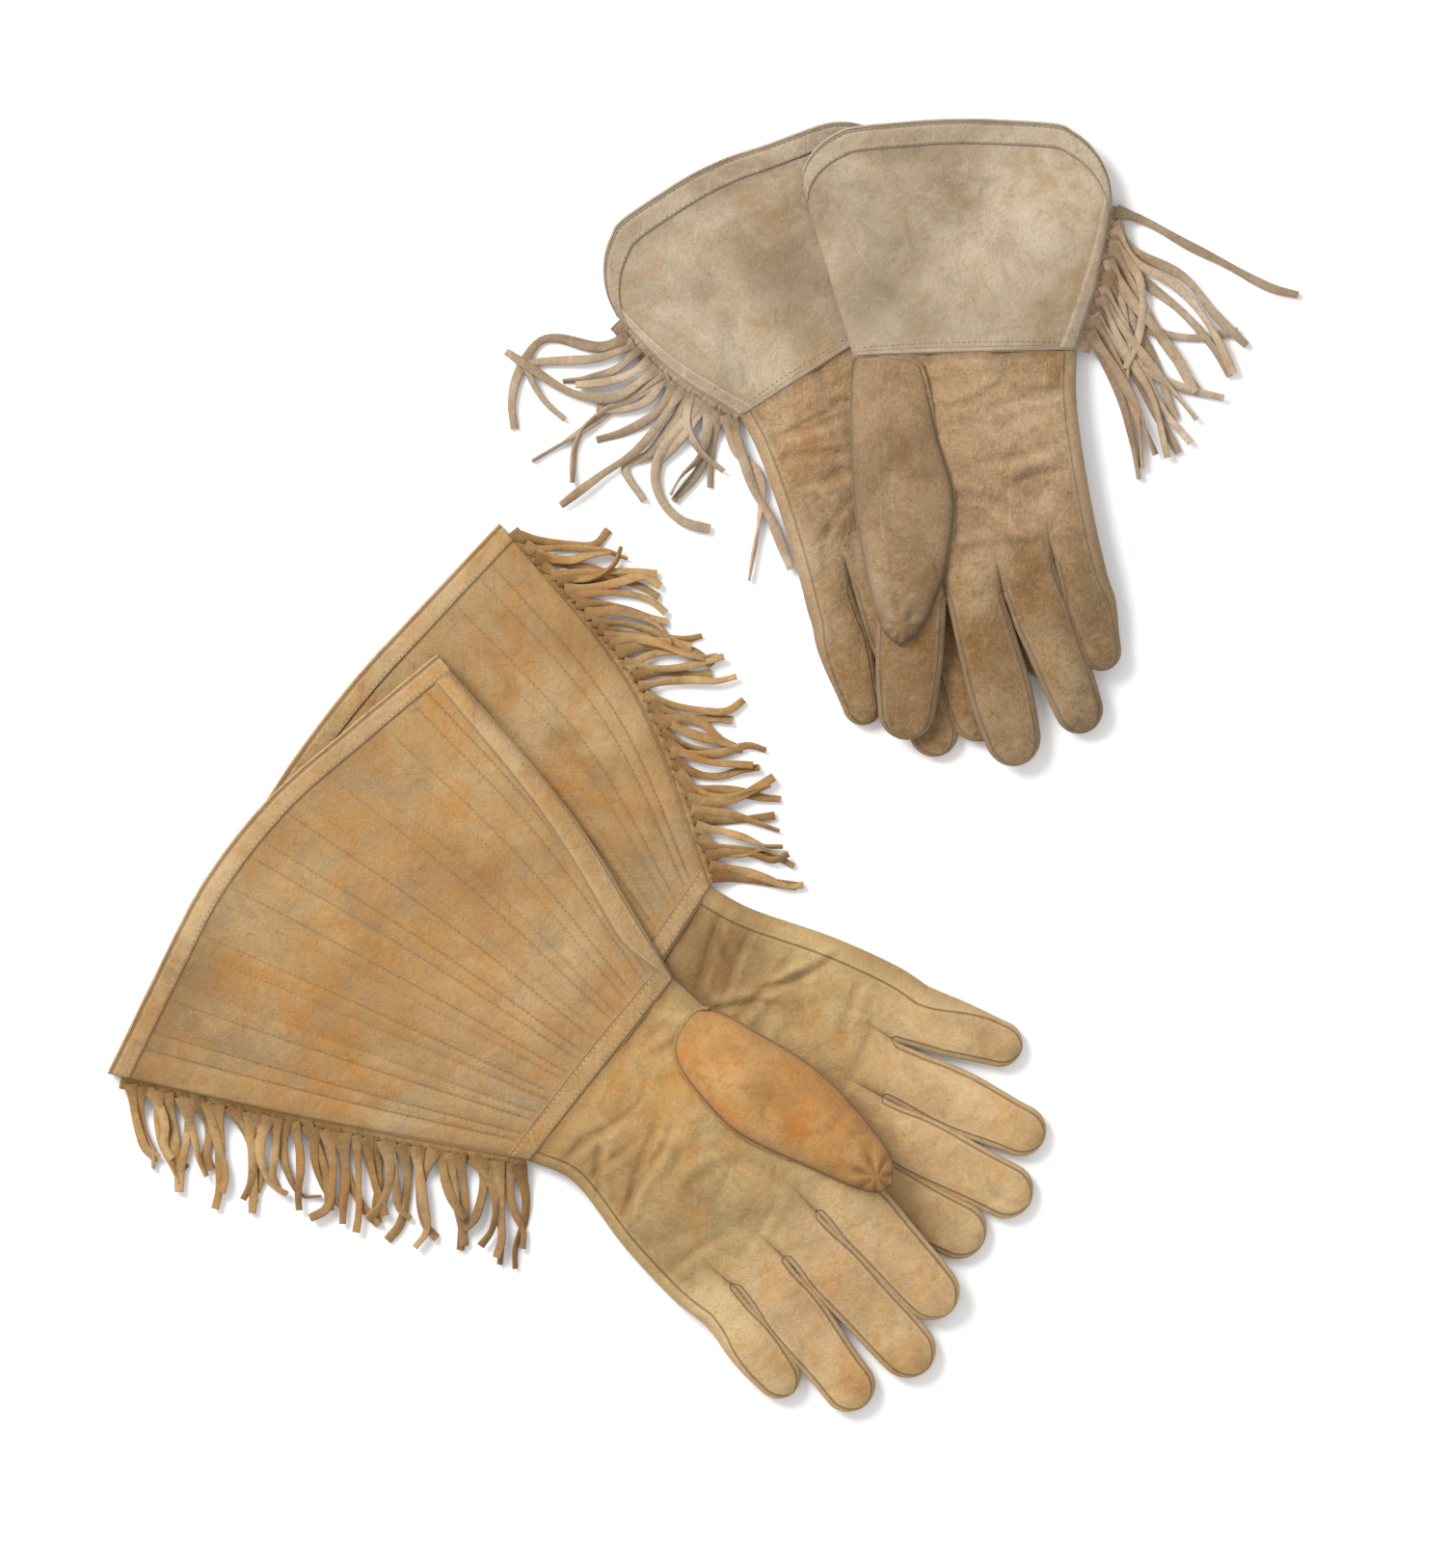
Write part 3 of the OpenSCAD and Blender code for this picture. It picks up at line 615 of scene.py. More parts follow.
class Glove:
    def __init__(self, name):
        self.name = name
        self.lay = LAYINGS[name]
        self.kind = self.lay["pattern"]
        self.cut = PATTERNS[self.kind]
        self.seed = self.lay["seed"]
        wrist = JOINTS[name + "_wrist"]
        self.origin = np.array(wrist["pos_m"][:2]) / MM
        low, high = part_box(name + "_middle")
        to_tips = (np.array(low[:2]) + np.array(high[:2])) / 2 / MM - self.origin
        to_thumb = np.array(JOINTS[name + "_thumb_swing"]["pos_m"][:2]) / MM - self.origin
        axis = unit(np.array(wrist["axis"][:2]))
        self.lateral = axis * np.sign(axis @ to_thumb)
        self.along = left_of(self.lateral)
        self.along = self.along * np.sign(self.along @ to_tips)
        self.mirrored = self.lateral[0] * self.along[1] - self.lateral[1] * self.along[0] < 0
        self.support = None
        self.tops = []

    # -- frames

    def place(self, xy, z):
        """Glove frame to row frame, both in millimetres."""
        p = self.origin + xy[..., :1] * self.lateral + xy[..., 1:2] * self.along
        return np.concatenate([p, np.broadcast_to(z, xy.shape[:-1])[..., None]], -1)

    def own(self, xy):
        """Row frame to glove frame."""
        d = np.asarray(xy, float) - self.origin
        return np.stack([d @ self.lateral, d @ self.along], -1)

    def base(self, xy):
        """Height of what the glove lies on."""
        if self.support is None:
            return np.full(xy.shape[:-1], ON_TABLE)
        p = self.origin + xy[..., :1] * self.lateral + xy[..., 1:2] * self.along
        return self.support.at(p[..., 0], p[..., 1])

    def hinge(self, finger):
        """The finger joint's place and the finger's direction, in the glove frame."""
        for ending in ("_curl", "_bend"):
            joint = JOINTS.get(self.name + "_" + finger + ending)
            if joint:
                break
        at = self.own(np.array(joint["pos_m"][:2]) / MM)
        axis = np.array(joint["axis"][:2])
        across = unit(np.array([axis @ self.lateral, axis @ self.along]))
        way = left_of(across)
        return at, way * np.sign(way[1])

    def body(self, part):
        """The full name of one of the glove's bodies, nodes or pieces."""
        return self.name + "_" + part

    def piece(self, shell, label, skin, slot, nodes=()):
        """Makes a leather piece of the shell. slot and nodes are named without the pair and the glove; slot
        is not used.
        """
        return shell.piece(self.body(label), SKINS[self.kind + "_" + skin], self.kind + "_" + slot,
                           [self.body(node) for node in nodes])

    # -- hand

    def knuckle_points(self):
        points = [np.array(p, float) for p in self.cut["knuckles"]]
        points[0] = points[0] - [self.lay["wider"], 0]
        return turned(points, self.lay["swing"])

    def wrist_line(self, s):
        half = self.cut["wrist"] / 2
        s = np.asarray(s, float)
        return np.stack([-half + 2 * half * s, 0 * s], -1)

    def hand_patch(self, u, t):
        """Point of the hand: u across from the pinky side, t from the wrist to the knuckles."""
        half = self.cut["wrist"] / 2
        k = self.knuckle_points()
        outer = [turned(np.array(p, float) - [self.lay["wider"], 0], self.lay["swing"])
                 for p in self.cut["pinky_edge"]]
        inner = [turned(p, self.lay["swing"]) for p in self.cut["thumb_edge"]]
        side_p = [np.array([-half, 0.0])] + outer + [k[0]]
        side_t = [np.array([half, 0.0])] + inner + [k[4]]
        step = self.knuckle_shares()

        def across(s):
            return np.stack([np.interp(s, step, k[:, 0]), np.interp(s, step, k[:, 1])], -1)

        return patch(self.wrist_line, across, lambda t: spline(side_p, t), lambda t: spline(side_t, t), u, t)

    def knuckle_shares(self):
        step = run_along(self.knuckle_points())
        return step / step[-1]

    def hand_relief(self, xy):
        """Wrinkles and soft hollows of the hand's leather."""
        z = 1.1 * waves(xy, 34, self.seed) + 0.3 * waves(xy, 9, self.seed + 7)
        wrist = np.exp(-((xy[..., 1] - 18) / 16) ** 2)
        z = z + 0.9 * wrist * creases(xy * [0.5, 1.0], 13, self.seed + 11)
        z = z + 0.8 * creases(xy, 30, self.seed + 17) + 0.3 * creases(xy, 12, self.seed + 19)
        for crease in self.cut["folds"] + self.lay["folds"]:
            z = z + fold(xy, *crease)
        return z

    def hand(self):
        shares = self.knuckle_shares()
        u_finger = (1 - np.cos(np.pi * np.arange(COLS + 1) / COLS)) / 2
        u_all, inside, which = [], [], []
        for k in range(4):
            keep = slice(0, COLS) if k < 3 else slice(0, COLS + 1)
            u_all.append(lerp(shares[k], shares[k + 1], u_finger[keep]))
            inside.append(2 * u_finger[keep] - 1)
            which.append(np.full(len(u_finger[keep]), k))
        u, inside, which = (np.concatenate(v) for v in (u_all, inside, which))
        rows = int(115 / ROW_STEP)
        t = np.linspace(0, 1, rows)
        uu, tt = np.meshgrid(u, t)
        inside = np.broadcast_to(inside, uu.shape)
        xy = self.hand_patch(uu, tt)
        reach = (1 - tt) * PALM
        part = 1 - smooth(reach, 0, 26)
        wrist, palm, finger, _ = self.lay["thick"]
        thick = lerp(lerp(wrist, palm, smooth(tt, 0, 0.35)), finger, smooth(tt, 0.7, 1))
        high = lerp(pillow(2 * uu - 1, 7), pillow(inside, 2.3), part)
        deep = lerp(pillow(2 * uu - 1, 12), pillow(inside, 3.5), part)
        base = self.base(xy)
        soft = np.clip(high, 0, 1) ** 1.5
        relief = self.hand_relief(xy)
        z_top = base + thick / 2 * (1 + high) + relief * soft * (1 - part ** 3)
        z_low = base + thick / 2 * (1 - deep)
        width = np.linalg.norm(xy[:, -1] - xy[:, 0], axis=1)[:, None]
        side = np.minimum(uu, 1.03 - uu) * width - self.lay["panel"]
        finger_w = np.array([np.linalg.norm(d) / 2 for d in np.diff(self.knuckle_points(), axis=0)])[which]
        own_edge = (1 - np.abs(inside)) * finger_w
        blend = np.where((which == 0) & (inside < 0), 0.0, part ** 2)
        edge = lerp(side, own_edge, blend)
        edge = np.where((uu > 0.55) & (part < 0.3), FAR, edge)
        shell = Shell()
        # Painted shade: darker in the relief's creases, towards each finger's edges and along the hand's two
        # sides; darker too within 5 mm of the wrist seam.
        stain_and_shade = 0.30 * (1 - smooth(tt * PALM, 0, 5)) + 0.16 * np.clip(-relief, 0, 1.4) * soft
        stain_and_shade = stain_and_shade + 0.22 * part ** 2 * (1 - smooth(own_edge, 0, 4))
        stain_and_shade = stain_and_shade + 0.2 * (1 - smooth(np.minimum(uu, 1 - uu) * width, 0, 5))
        stain = marks(xy, self.lay["marks"])
        stain_and_shade = stain_and_shade + np.maximum(stain, 0)
        # Painted highlight on the relief's ridges, with the fingers' own lighter or darker tone and the
        # rubbed marks.
        tone_and_highlight = self.cut["finger_glow"] * part + 0.05 * np.clip(relief, 0, 1.4) - np.minimum(stain, 0)
        top = self.place(xy, z_top)
        shell.grid(top, self.mirrored, edge=edge, stain_and_shade=stain_and_shade, tone_and_highlight=tone_and_highlight)
        shell.grid(self.place(xy, z_low), not self.mirrored)
        self.tops.append(top.reshape(-1, 3))
        obj = self.piece(shell, "hand_leather", "hand", "hand_leather", ("palm", "back", "hand_sides"))
        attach(obj, self.body("hand"))
        return [obj] + [self.finger(k, u_finger) for k in range(4)]

    def finger(self, k, u):
        """One finger: the hand's grid goes on from the knuckles to a round tip."""
        name = FINGERS[k]
        corners = self.knuckle_points()
        at, way = self.hinge(name)
        tip_r = self.cut["tips"][k]
        tip = at + way * (self.lay["lengths"][k] - tip_r)
        root = (corners[k] + corners[k + 1]) / 2
        length = np.linalg.norm(tip - root)
        body = np.linspace(0, 1, int(length / ROW_STEP))
        cap = np.sin(np.radians(np.linspace(0, 87, 11)))[1:]
        run = np.concatenate([body * length, length + cap * tip_r])
        closing = np.concatenate([np.ones(len(body)), np.sqrt(1 - cap ** 2)])
        line = [root, (root + tip) / 2, tip]
        centre = spline(line, np.minimum(run / length, 1))
        ahead = unit(np.gradient(spline(line, np.linspace(0, 1, 200)), axis=0))
        ahead = ahead[(np.minimum(run / length, 1) * 199).astype(int)]
        centre = centre + ahead * np.maximum(run - length, 0)[:, None]
        base_way = unit(corners[k + 1] - corners[k])
        across = unit(lerp(base_way, -left_of(ahead), smooth(run, 0, 16)[:, None]))
        half = lerp(np.linalg.norm(corners[k + 1] - corners[k]) / 2, tip_r, smooth(run / length) ** 0.8)
        half = half + 1.3 * np.sin(np.pi * np.minimum(run / length, 1)) * smooth(run, 4, 20)
        half = (half + 0.4 * np.sin(run / 8.5 + self.seed + k) * smooth(run, 4, 20)) * closing
        inside = 2 * u - 1
        xy = centre[:, None] + across[:, None] * (half[:, None] * inside)[..., None]
        thick = lerp(self.lay["thick"][2], self.lay["thick"][2] * 0.86, smooth(run / length))[:, None]
        full = closing[:, None] ** 0.9
        base = self.base(xy)
        mid = base + thick / 2
        relief = 0.5 * waves(xy, 16, self.seed + 31 + k)
        relief = relief + 0.5 * creases(xy, 18, self.seed + 37 + k)
        cross = np.sin(run / 5.5 + self.seed + k)[:, None] * (1 - smooth(run, 12, 34))[:, None]
        relief = relief + 0.3 * cross
        relief = relief * smooth(run, 3, 14)[:, None] * pillow(inside, 3) * full
        z_top = mid + thick / 2 * pillow(inside, 2.3) * full + relief
        z_low = mid - thick / 2 * pillow(inside, 3.5) * full
        side = half[:, None] * (1 - np.abs(inside))
        edge = side
        if k == 0:
            panel = self.lay["panel"] * (1 - smooth(run / length, 0, 0.9))[:, None]
            edge = side - np.where(inside < 0, panel, 0.0)
        # Painted shade towards the finger's edges and in its creases.
        stain_and_shade = 0.30 * (1 - smooth(side, 0, 5)) + 0.14 * np.clip(-relief, 0, 1)
        stain = marks(xy, self.lay["marks"])
        grime = smooth(waves(xy, 7, self.seed + 91), 0.1, 0.8)
        grime = grime * smooth(run / length, 0.7, 1)[:, None]
        stain_and_shade = stain_and_shade + np.maximum(stain, 0) + 0.3 * grime
        # Painted highlight on the finger's ridges, with the fingers' own tone and the rubbed marks.
        tone_and_highlight = self.cut["finger_glow"] + 0.05 * np.clip(relief, 0, 1) - np.minimum(stain, 0)
        shell = Shell()
        top, low = self.place(xy, z_top), self.place(xy, z_low)
        shell.grid(top, self.mirrored, edge=edge, stain_and_shade=stain_and_shade, tone_and_highlight=tone_and_highlight)
        shell.grid(low, not self.mirrored)
        shell.grid(np.stack([top[-1], low[-1]]), self.mirrored, edge=0.3)
        self.tops.append(top.reshape(-1, 3))
        obj = self.piece(shell, name + "_leather", "hand", "hand_leather", (name,))
        start, end = (self.place(at + way * d, base.mean()) * MM for d in (2.0, 15.0))
        tuple(start)
        tuple(end)
        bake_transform(obj)
        return obj

    # -- thumb

    def thumb(self):
        height, lean = self.lay["thumb"]
        heel = np.array(self.cut["thumb_inner"][0], float)
        inner, outer = (turned(turned(np.array(self.cut[side]) - heel, -lean) + heel, self.lay["swing"])
                        for side in ("thumb_inner", "thumb_outer"))
        s = (1 - np.cos(np.pi * np.linspace(0.01, 0.99, 95))) / 2
        a, b = spline(inner, s), spline(outer, s)
        u = (1 - np.cos(np.pi * np.arange(31) / 30)) / 2
        inside = 2 * u - 1
        xy = lerp(a[:, None], b[:, None], u[None, :, None])
        span = np.linalg.norm(b - a, axis=1)[:, None]
        run = np.linalg.norm(xy[:, 15] - xy[0, 15], axis=1)[:, None]
        rise = lerp(0.12, 1.0, smooth(run, 0, 42)) * (1 - 0.15 * smooth(run, 80, 130))
        cap = np.clip(span / 20, 0, 1) ** 0.6
        over = np.clip(xy[..., 0] - 47, 0, 20)
        floor = self.base(xy) + self.lay["thick"][1] - 0.15 * over - 0.5 * (1 - smooth(run, 8, 40))
        relief = 1.0 * waves(xy, 22, self.seed + 51)
        relief = relief + 0.8 * creases(xy, 17, self.seed + 53)
        tip = xy[-1, 15] - unit(xy[-1, 15] - xy[-8, 15]) * 9
        ray = np.arctan2(xy[..., 1] - tip[1], xy[..., 0] - tip[0])
        pucker = np.exp(-((np.linalg.norm(xy - tip, axis=-1) - 7) / 6) ** 2) * np.cos(ray * 7 + self.seed)
        gather = 1.0 if self.kind == "long" else 0.4
        relief = (relief + gather * pucker) * pillow(inside, 3) * smooth(run, 4, 22)
        z_top = floor + height * rise * cap * pillow(inside, 2.4) + relief + 0.1
        z_low = floor + 0.05 * height * cap * (1 - pillow(inside, 6))
        z_top = np.maximum(z_top, z_low + 0.05)
        edge = span / 2 * (1 - np.abs(inside))
        top, low = self.place(xy, z_top), self.place(xy, z_low)
        shell = Shell()
        # Painted shade along the thumb's outline, in the tip's puckers and creases, and on its inner side
        # towards the tip; the short pair's thumb is also darker all over.
        stain_and_shade = 0.40 * (1 - smooth(edge, 0.2, 4)) + 0.4 * gather * np.clip(-pucker, 0, 1)
        stain_and_shade = stain_and_shade + 0.25 * np.clip(-relief, 0, 1) + (0.36 if self.kind == "short" else 0.0)
        stain_and_shade = stain_and_shade + 0.22 * smooth(run, 75, 120) * smooth(-inside, -0.2, 0.9)
        # Painted highlight on the thumb's ridges.
        shell.grid(top, self.mirrored, edge=edge + 1.5, stain_and_shade=stain_and_shade, tone_and_highlight=0.06 * np.clip(relief, 0, 1))
        shell.grid(low, not self.mirrored)
        shell.grid(np.stack([low[0], top[0]]), self.mirrored)
        shell.grid(np.stack([top[-1], low[-1]]), self.mirrored)
        for column in (0, 30):
            shell.grid(np.stack([top[:, column], low[:, column]], 1), self.mirrored != (column == 0))
        swing = JOINTS[self.name + "_thumb_swing"]
        if abs(swing["axis"][2]) > 0.9:
            hub = np.array(swing["pos_m"][:2]) / MM
            for part in (0.25, 0.5, 0.75, 1.0, 1.15):
                moved = top.reshape(-1, 3).copy()
                turn = swing["range_deg"][1] * part * math.copysign(1, swing["axis"][2])
                moved[:, :2] = turned(moved[:, :2] - hub, turn) + hub
                self.tops.append(moved)
        self.tops.append(top.reshape(-1, 3))
        skin = "thumb" if self.kind == "long" else "hand"
        obj = self.piece(shell, "thumb_leather", skin, "hand_leather", ("thumb",))
        near, far = xy[6, 15], xy[40, 15]
        tuple(self.place(near, 20.0) * MM)
        tuple(self.place(far, 20.0) * MM)
        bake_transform(obj)
        heel_turn = 20 if self.kind == "long" else 8
        ring = np.concatenate([a[55:0:-1], b[:heel_turn]])
        self.welt(ring, 0.9)
        return obj

    def welt(self, line, radius):
        """The thumb's raised seam: a thin roll of leather along a line on the palm."""
        path = self.place(line, self.base(line) + self.lay["thick"][1] + 0.1)
        ahead = unit(np.gradient(path, axis=0))
        across = level_side(ahead)
        ring = np.radians(np.arange(0, 360, 45))
        section = np.stack([np.cos(ring), np.sin(ring) * 0.8], -1) * radius
        rings = swept(path, across, np.cross(ahead, across), section)
        shell = Shell()
        shell.grid(rings, closed=True, stain_and_shade=0.35)
        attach(self.piece(shell, "thumb_welt", "hand", "hand_leather"), self.body("hand"))

    # -- cuff

    def cuff_outline(self):
        """The cuff's four curves: wrist, mouth, pinky edge and thumb edge, each from 0 to 1."""
        half = self.cut["wrist"] / 2
        p, q = np.array(self.lay["corner_p"], float), np.array(self.lay["corner_t"], float)
        (rpx, rpy), (rtx, rty) = self.lay["round_p"], self.lay["round_t"]
        bow_p, bow_t, bow_m = self.lay["bows"]
        arc = np.radians(np.linspace(180, 255, 6))
        mouth = [p + [rpx, 0] + [rpx * math.cos(a), rpy * math.sin(a)] for a in arc]
        inner = bowed(p + [rpx, -rpy], q + [-rtx, -rty], -bow_m)
        mouth += list(spline(inner, [0.2, 0.4, 0.6, 0.8]))
        mouth += [q + [-rtx, 0] + [-rtx * math.cos(a), rty * math.sin(a)] for a in arc[::-1]]
        edge_p = bowed((-half, 0), p, -bow_p)
        edge_t = bowed((half, 0), q, bow_t)

        return (self.wrist_line, lambda s: spline(mouth, s), lambda s: spline(edge_p, s),
                lambda s: spline(edge_t, s))

    def cuff_xy(self, u, t):
        if not hasattr(self, "outline"):
            self.outline = self.cuff_outline()
        return patch(*self.outline, u, t)

    def cuff_z(self, xy, u, t, top):
        wrist, _, _, mouth = self.lay["thick"]
        thick = lerp(wrist, mouth, smooth(t))
        high = pillow(2 * u - 1, 6 if top else 10)
        soft = np.clip(high, 0, 1) ** 1.5
        relief = 1.1 * waves(xy, 60, self.seed + 71) + 0.4 * waves(xy, 17, self.seed + 73)
        relief = relief + 0.35 * creases(xy, 46, self.seed + 75)
        if self.cut["rows"]:
            off = np.abs(u * (self.cut["rows"] + 1) % 1 - 0.5)
            quilt = smooth(np.abs(0.5 - off - TWIN), 0.0, 0.22)
            relief = relief + (quilt - 0.6) * 0.6 * smooth(t, 0.02, 0.12)
        if top:
            return self.base(xy) + thick / 2 * (1 + high) + relief * soft
        return self.base(xy) + thick / 2 * (1 - high)

    def cuff_point(self, u, t, lift=0.0, top=True):
        u, t = np.broadcast_arrays(np.asarray(u, float), np.asarray(t, float))
        xy = self.cuff_xy(u, t)
        return self.place(xy, self.cuff_z(xy, u, t, top) + lift)

    def on_cuff(self, obj):
        start = self.place(np.array([0.0, -0.5]), 10.0) * MM
        end = self.place(np.array([0.0, -16.0]), 10.0) * MM
        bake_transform(obj)

    def cuff_length(self):
        return -(self.lay["corner_p"][1] + self.lay["corner_t"][1]) / 2 + self.lay["round_p"][1]

    def cuff_width(self, t):
        return np.linalg.norm(self.cuff_xy(0 * t + 1, t) - self.cuff_xy(0 * t, t), axis=1)

    def cuff(self):
        rows = int(self.cuff_length() / ROW_STEP)
        t = np.linspace(0, 1, rows)
        even = np.linspace(0, 1, CUFF_COLS)
        u = lerp((1 - np.cos(np.pi * even)) / 2, even, 0.6)
        uu, tt = np.meshgrid(u, t)
        xy = self.cuff_xy(uu, tt)
        width = np.linalg.norm(xy[:, -1] - xy[:, 0], axis=1)[:, None]
        row = np.full(uu.shape, FAR)
        if self.cut["rows"]:
            n = self.cut["rows"] + 1
            off = np.abs(uu * n - np.clip(np.round(uu * n), 1, n - 1))
            row = np.abs(off - TWIN) / n * width
            row = np.where((tt > 0.95) | (tt < 0.06), FAR, row)
        z_top, z_low = self.cuff_z(xy, uu, tt, True), self.cuff_z(xy, uu, tt, False)
        soil = 0.24 * smooth(waves(xy, 46, self.seed + 81), 0.1, 0.8)
        side = np.minimum(uu, 1 - uu) * width
        # hem here is painted shade: the top panel darkens within 14 mm of its two sides, more on the long
        # pair; the panel is also darker within 4 mm of the wrist seam.
        hem = 0.15 if self.kind == "long" else 0.05
        stain_and_shade = soil + 0.3 * (1 - smooth(tt * self.cuff_length(), 0, 4)) + hem * (1 - smooth(side, 0, 14))
        stain = marks(xy, self.lay["cuff_marks"])
        stain_and_shade = stain_and_shade + 0.14 * smooth(tt, 0.8, 1.0) + np.maximum(stain, 0)
        shell = Shell()
        top = self.place(xy, z_top)
        shell.grid(top, not self.mirrored, row=row, stain_and_shade=stain_and_shade, tone_and_highlight=-np.minimum(stain, 0))
        shell.grid(self.place(xy, z_low), self.mirrored)
        self.tops.append(top.reshape(-1, 3))
        skin = self.piece(shell, "cuff_leather", "cuff", "cuff_leather",
                          ("cuff_front", "cuff_back", "cuff_sides"))
        self.on_cuff(skin)
        inner = Shell()
        keep = lerp(0.012, 0.988, u)
        uu, tt = np.meshgrid(keep, lerp(0.03, 0.997, t))
        xy = self.cuff_xy(uu, tt)
        z_top = self.cuff_z(xy, uu, tt, True) - LEATHER
        z_low = np.minimum(self.cuff_z(xy, uu, tt, False) + LEATHER, z_top - 0.1)
        inner.grid(self.place(xy, z_top), self.mirrored)
        inner.grid(self.place(xy, z_low), not self.mirrored)
        self.on_cuff(inner.piece(self.body("lining"), LINING, "lining", [self.body("cuff_lining")]))
        return skin

    def band(self, shell, u_line, t_near, t_far, thick, top=True, stain_and_shade=0.0, tone_and_highlight=0.0):
        """A strip of leather laid on the cuff between two lines of patch shares."""
        profile = np.array([0.0, 0.7, 1.0, 1.0, 1.0, 1.0, 0.7, 0.0]) * thick
        share = np.array([0.0, 0.02, 0.08, 0.35, 0.65, 0.92, 0.98, 1.0])
        u_a, u_b = u_line
        us = lerp(u_a[:, None], u_b[:, None], share[None])
        ts = lerp(t_near[:, None], t_far[:, None], share[None])
        xy = self.cuff_xy(us, ts)
        sign = 1 if top else -1
        z = np.maximum(self.cuff_z(xy, us, ts, top) + sign * (profile - 0.05), LOWEST)
        edge = np.broadcast_to(np.minimum(share, 1 - share) * 10 + 1.6, us.shape)
        shell.grid(self.place(xy, z), self.mirrored != top, edge=edge, stain_and_shade=stain_and_shade, tone_and_highlight=tone_and_highlight)

    def trim(self):
        """Mouth binding rolled over both panels, the strip down the thumb edge and the wrist band."""
        shell = Shell()
        length = self.cuff_length()
        hem = self.cut["hem"] / length
        n = 260
        u = np.linspace(0.0, 1.0, n)
        thick = 0.8
        for top in (True, False):
            self.band(shell, (u, u), np.full(n, 1 - hem), np.full(n, 1.0), thick, top, stain_and_shade=0.12)
            lip = []
            for angle in np.linspace(90, -90, 9):
                a = math.radians(angle)
                out = self.cuff_xy(u, np.ones(n)) - self.cuff_xy(u, np.full(n, 0.99))
                xy = self.cuff_xy(u, np.ones(n)) + unit(out) * math.cos(a) * 1.1
                middle = self.cuff_z(self.cuff_xy(u, np.ones(n)), u, np.ones(n), top) + (-0.3 if top else 0.3)
                lip.append(self.place(xy, np.maximum(middle + math.sin(a) * 1.05, LOWEST)))
            lip = np.stack(lip)
            shell.grid(lip, self.mirrored, stain_and_shade=0.2)
        if self.cut["strip"]:
            t = np.linspace(0.01, 0.985, 200)
            wide = lerp(4, self.cut["strip"], smooth(t, 0, 0.2)) / self.cuff_width(t)
            self.band(shell, (1 - wide, np.full(200, 0.996)), t, t, 0.7, stain_and_shade=0.06)
        if self.cut["band"]:
            u = np.linspace(0.01, 0.99, 160)
            near = np.full(160, 0.6 / length)
            self.band(shell, (u, u), near, near + self.cut["band"] / length, 0.7, stain_and_shade=0.08)
        else:
            u = np.linspace(0.02, 0.98, 160)
            near = np.full(160, 0.5 / length)
            self.band(shell, (u, u), near, near + 2.4 / length, 0.6, stain_and_shade=0.1)
            t = np.linspace(0.02, 0.99, 140)
            # Painted light: this strip down the short cuff's pinky edge is lightened where the cuff curves
            # away from the lamp.
            self.band(shell, (np.full(140, 0.006), 9.0 / self.cuff_width(t)), t, t, 0.6, tone_and_highlight=0.16)
        self.on_cuff(self.piece(shell, "trim", "trim", "trim_leather", ("cuff_trim",)))

    # -- thread

    def stitch_line(self, u, t, lift, step=2.5, long=1.5, wide=0.42):
        """Stitches at equal steps along a line of patch shares on the cuff's front."""
        path = self.cuff_point(u, t, lift)
        run = run_along(path)
        at = np.arange(step, run[-1] - step, step)
        mid = np.stack([np.interp(at, run, path[:, k]) for k in range(3)], -1)
        nxt = np.stack([np.interp(at + 0.5, run, path[:, k]) for k in range(3)], -1)
        ahead = unit(nxt - mid)
        across = level_side(ahead)
        up = np.array([0, 0, 1.0])
        rings = []
        for along, side, rise in ((-0.5, 0.25, 0.0), (-0.25, 0.5, 0.24), (0.25, 0.5, 0.24), (0.5, 0.25, 0.0)):
            p = mid + ahead * along * long
            rings.append([p - across * side * wide, p + up * rise, p + across * side * wide])
        return np.array(rings)              # place along the stitch, place across, stitch, xyz

    def thread(self):
        lines = []
        length = self.cuff_length()
        near = np.linspace(0.02, 0.98, 200)
        if self.cut["rows"]:
            n = self.cut["rows"] + 1
            t = np.linspace(0.08, 1 - self.cut["hem"] / length - 0.005, 160)
            for i in range(1, n):
                lines += [(np.full(160, (i + side) / n), t, 0.0) for side in (-TWIN, TWIN)]
            for d in (2.2, self.cut["band"] - 1.2):
                lines.append((near, np.full(200, d / length), 0.68))
            lines.append((near, np.full(200, 1 - (self.cut["hem"] - 1.4) / length), 0.72))
        else:
            for d in (1.5, self.cut["hem"] - 1.3):
                lines.append((near, np.full(200, 1 - d / length), 0.72))
            lines.append((near, np.full(200, 5.0 / length), 0.05))
        shell = Shell()
        for u, t, lift in lines:
            rings = self.stitch_line(u, t, lift)
            for k in range(rings.shape[2]):
                shell.grid(rings[:, :, k], not self.mirrored)
        self.on_cuff(shell.piece(self.body("thread"), THREADS[self.kind], "thread", [self.body("stitching")]))

    # -- fringe

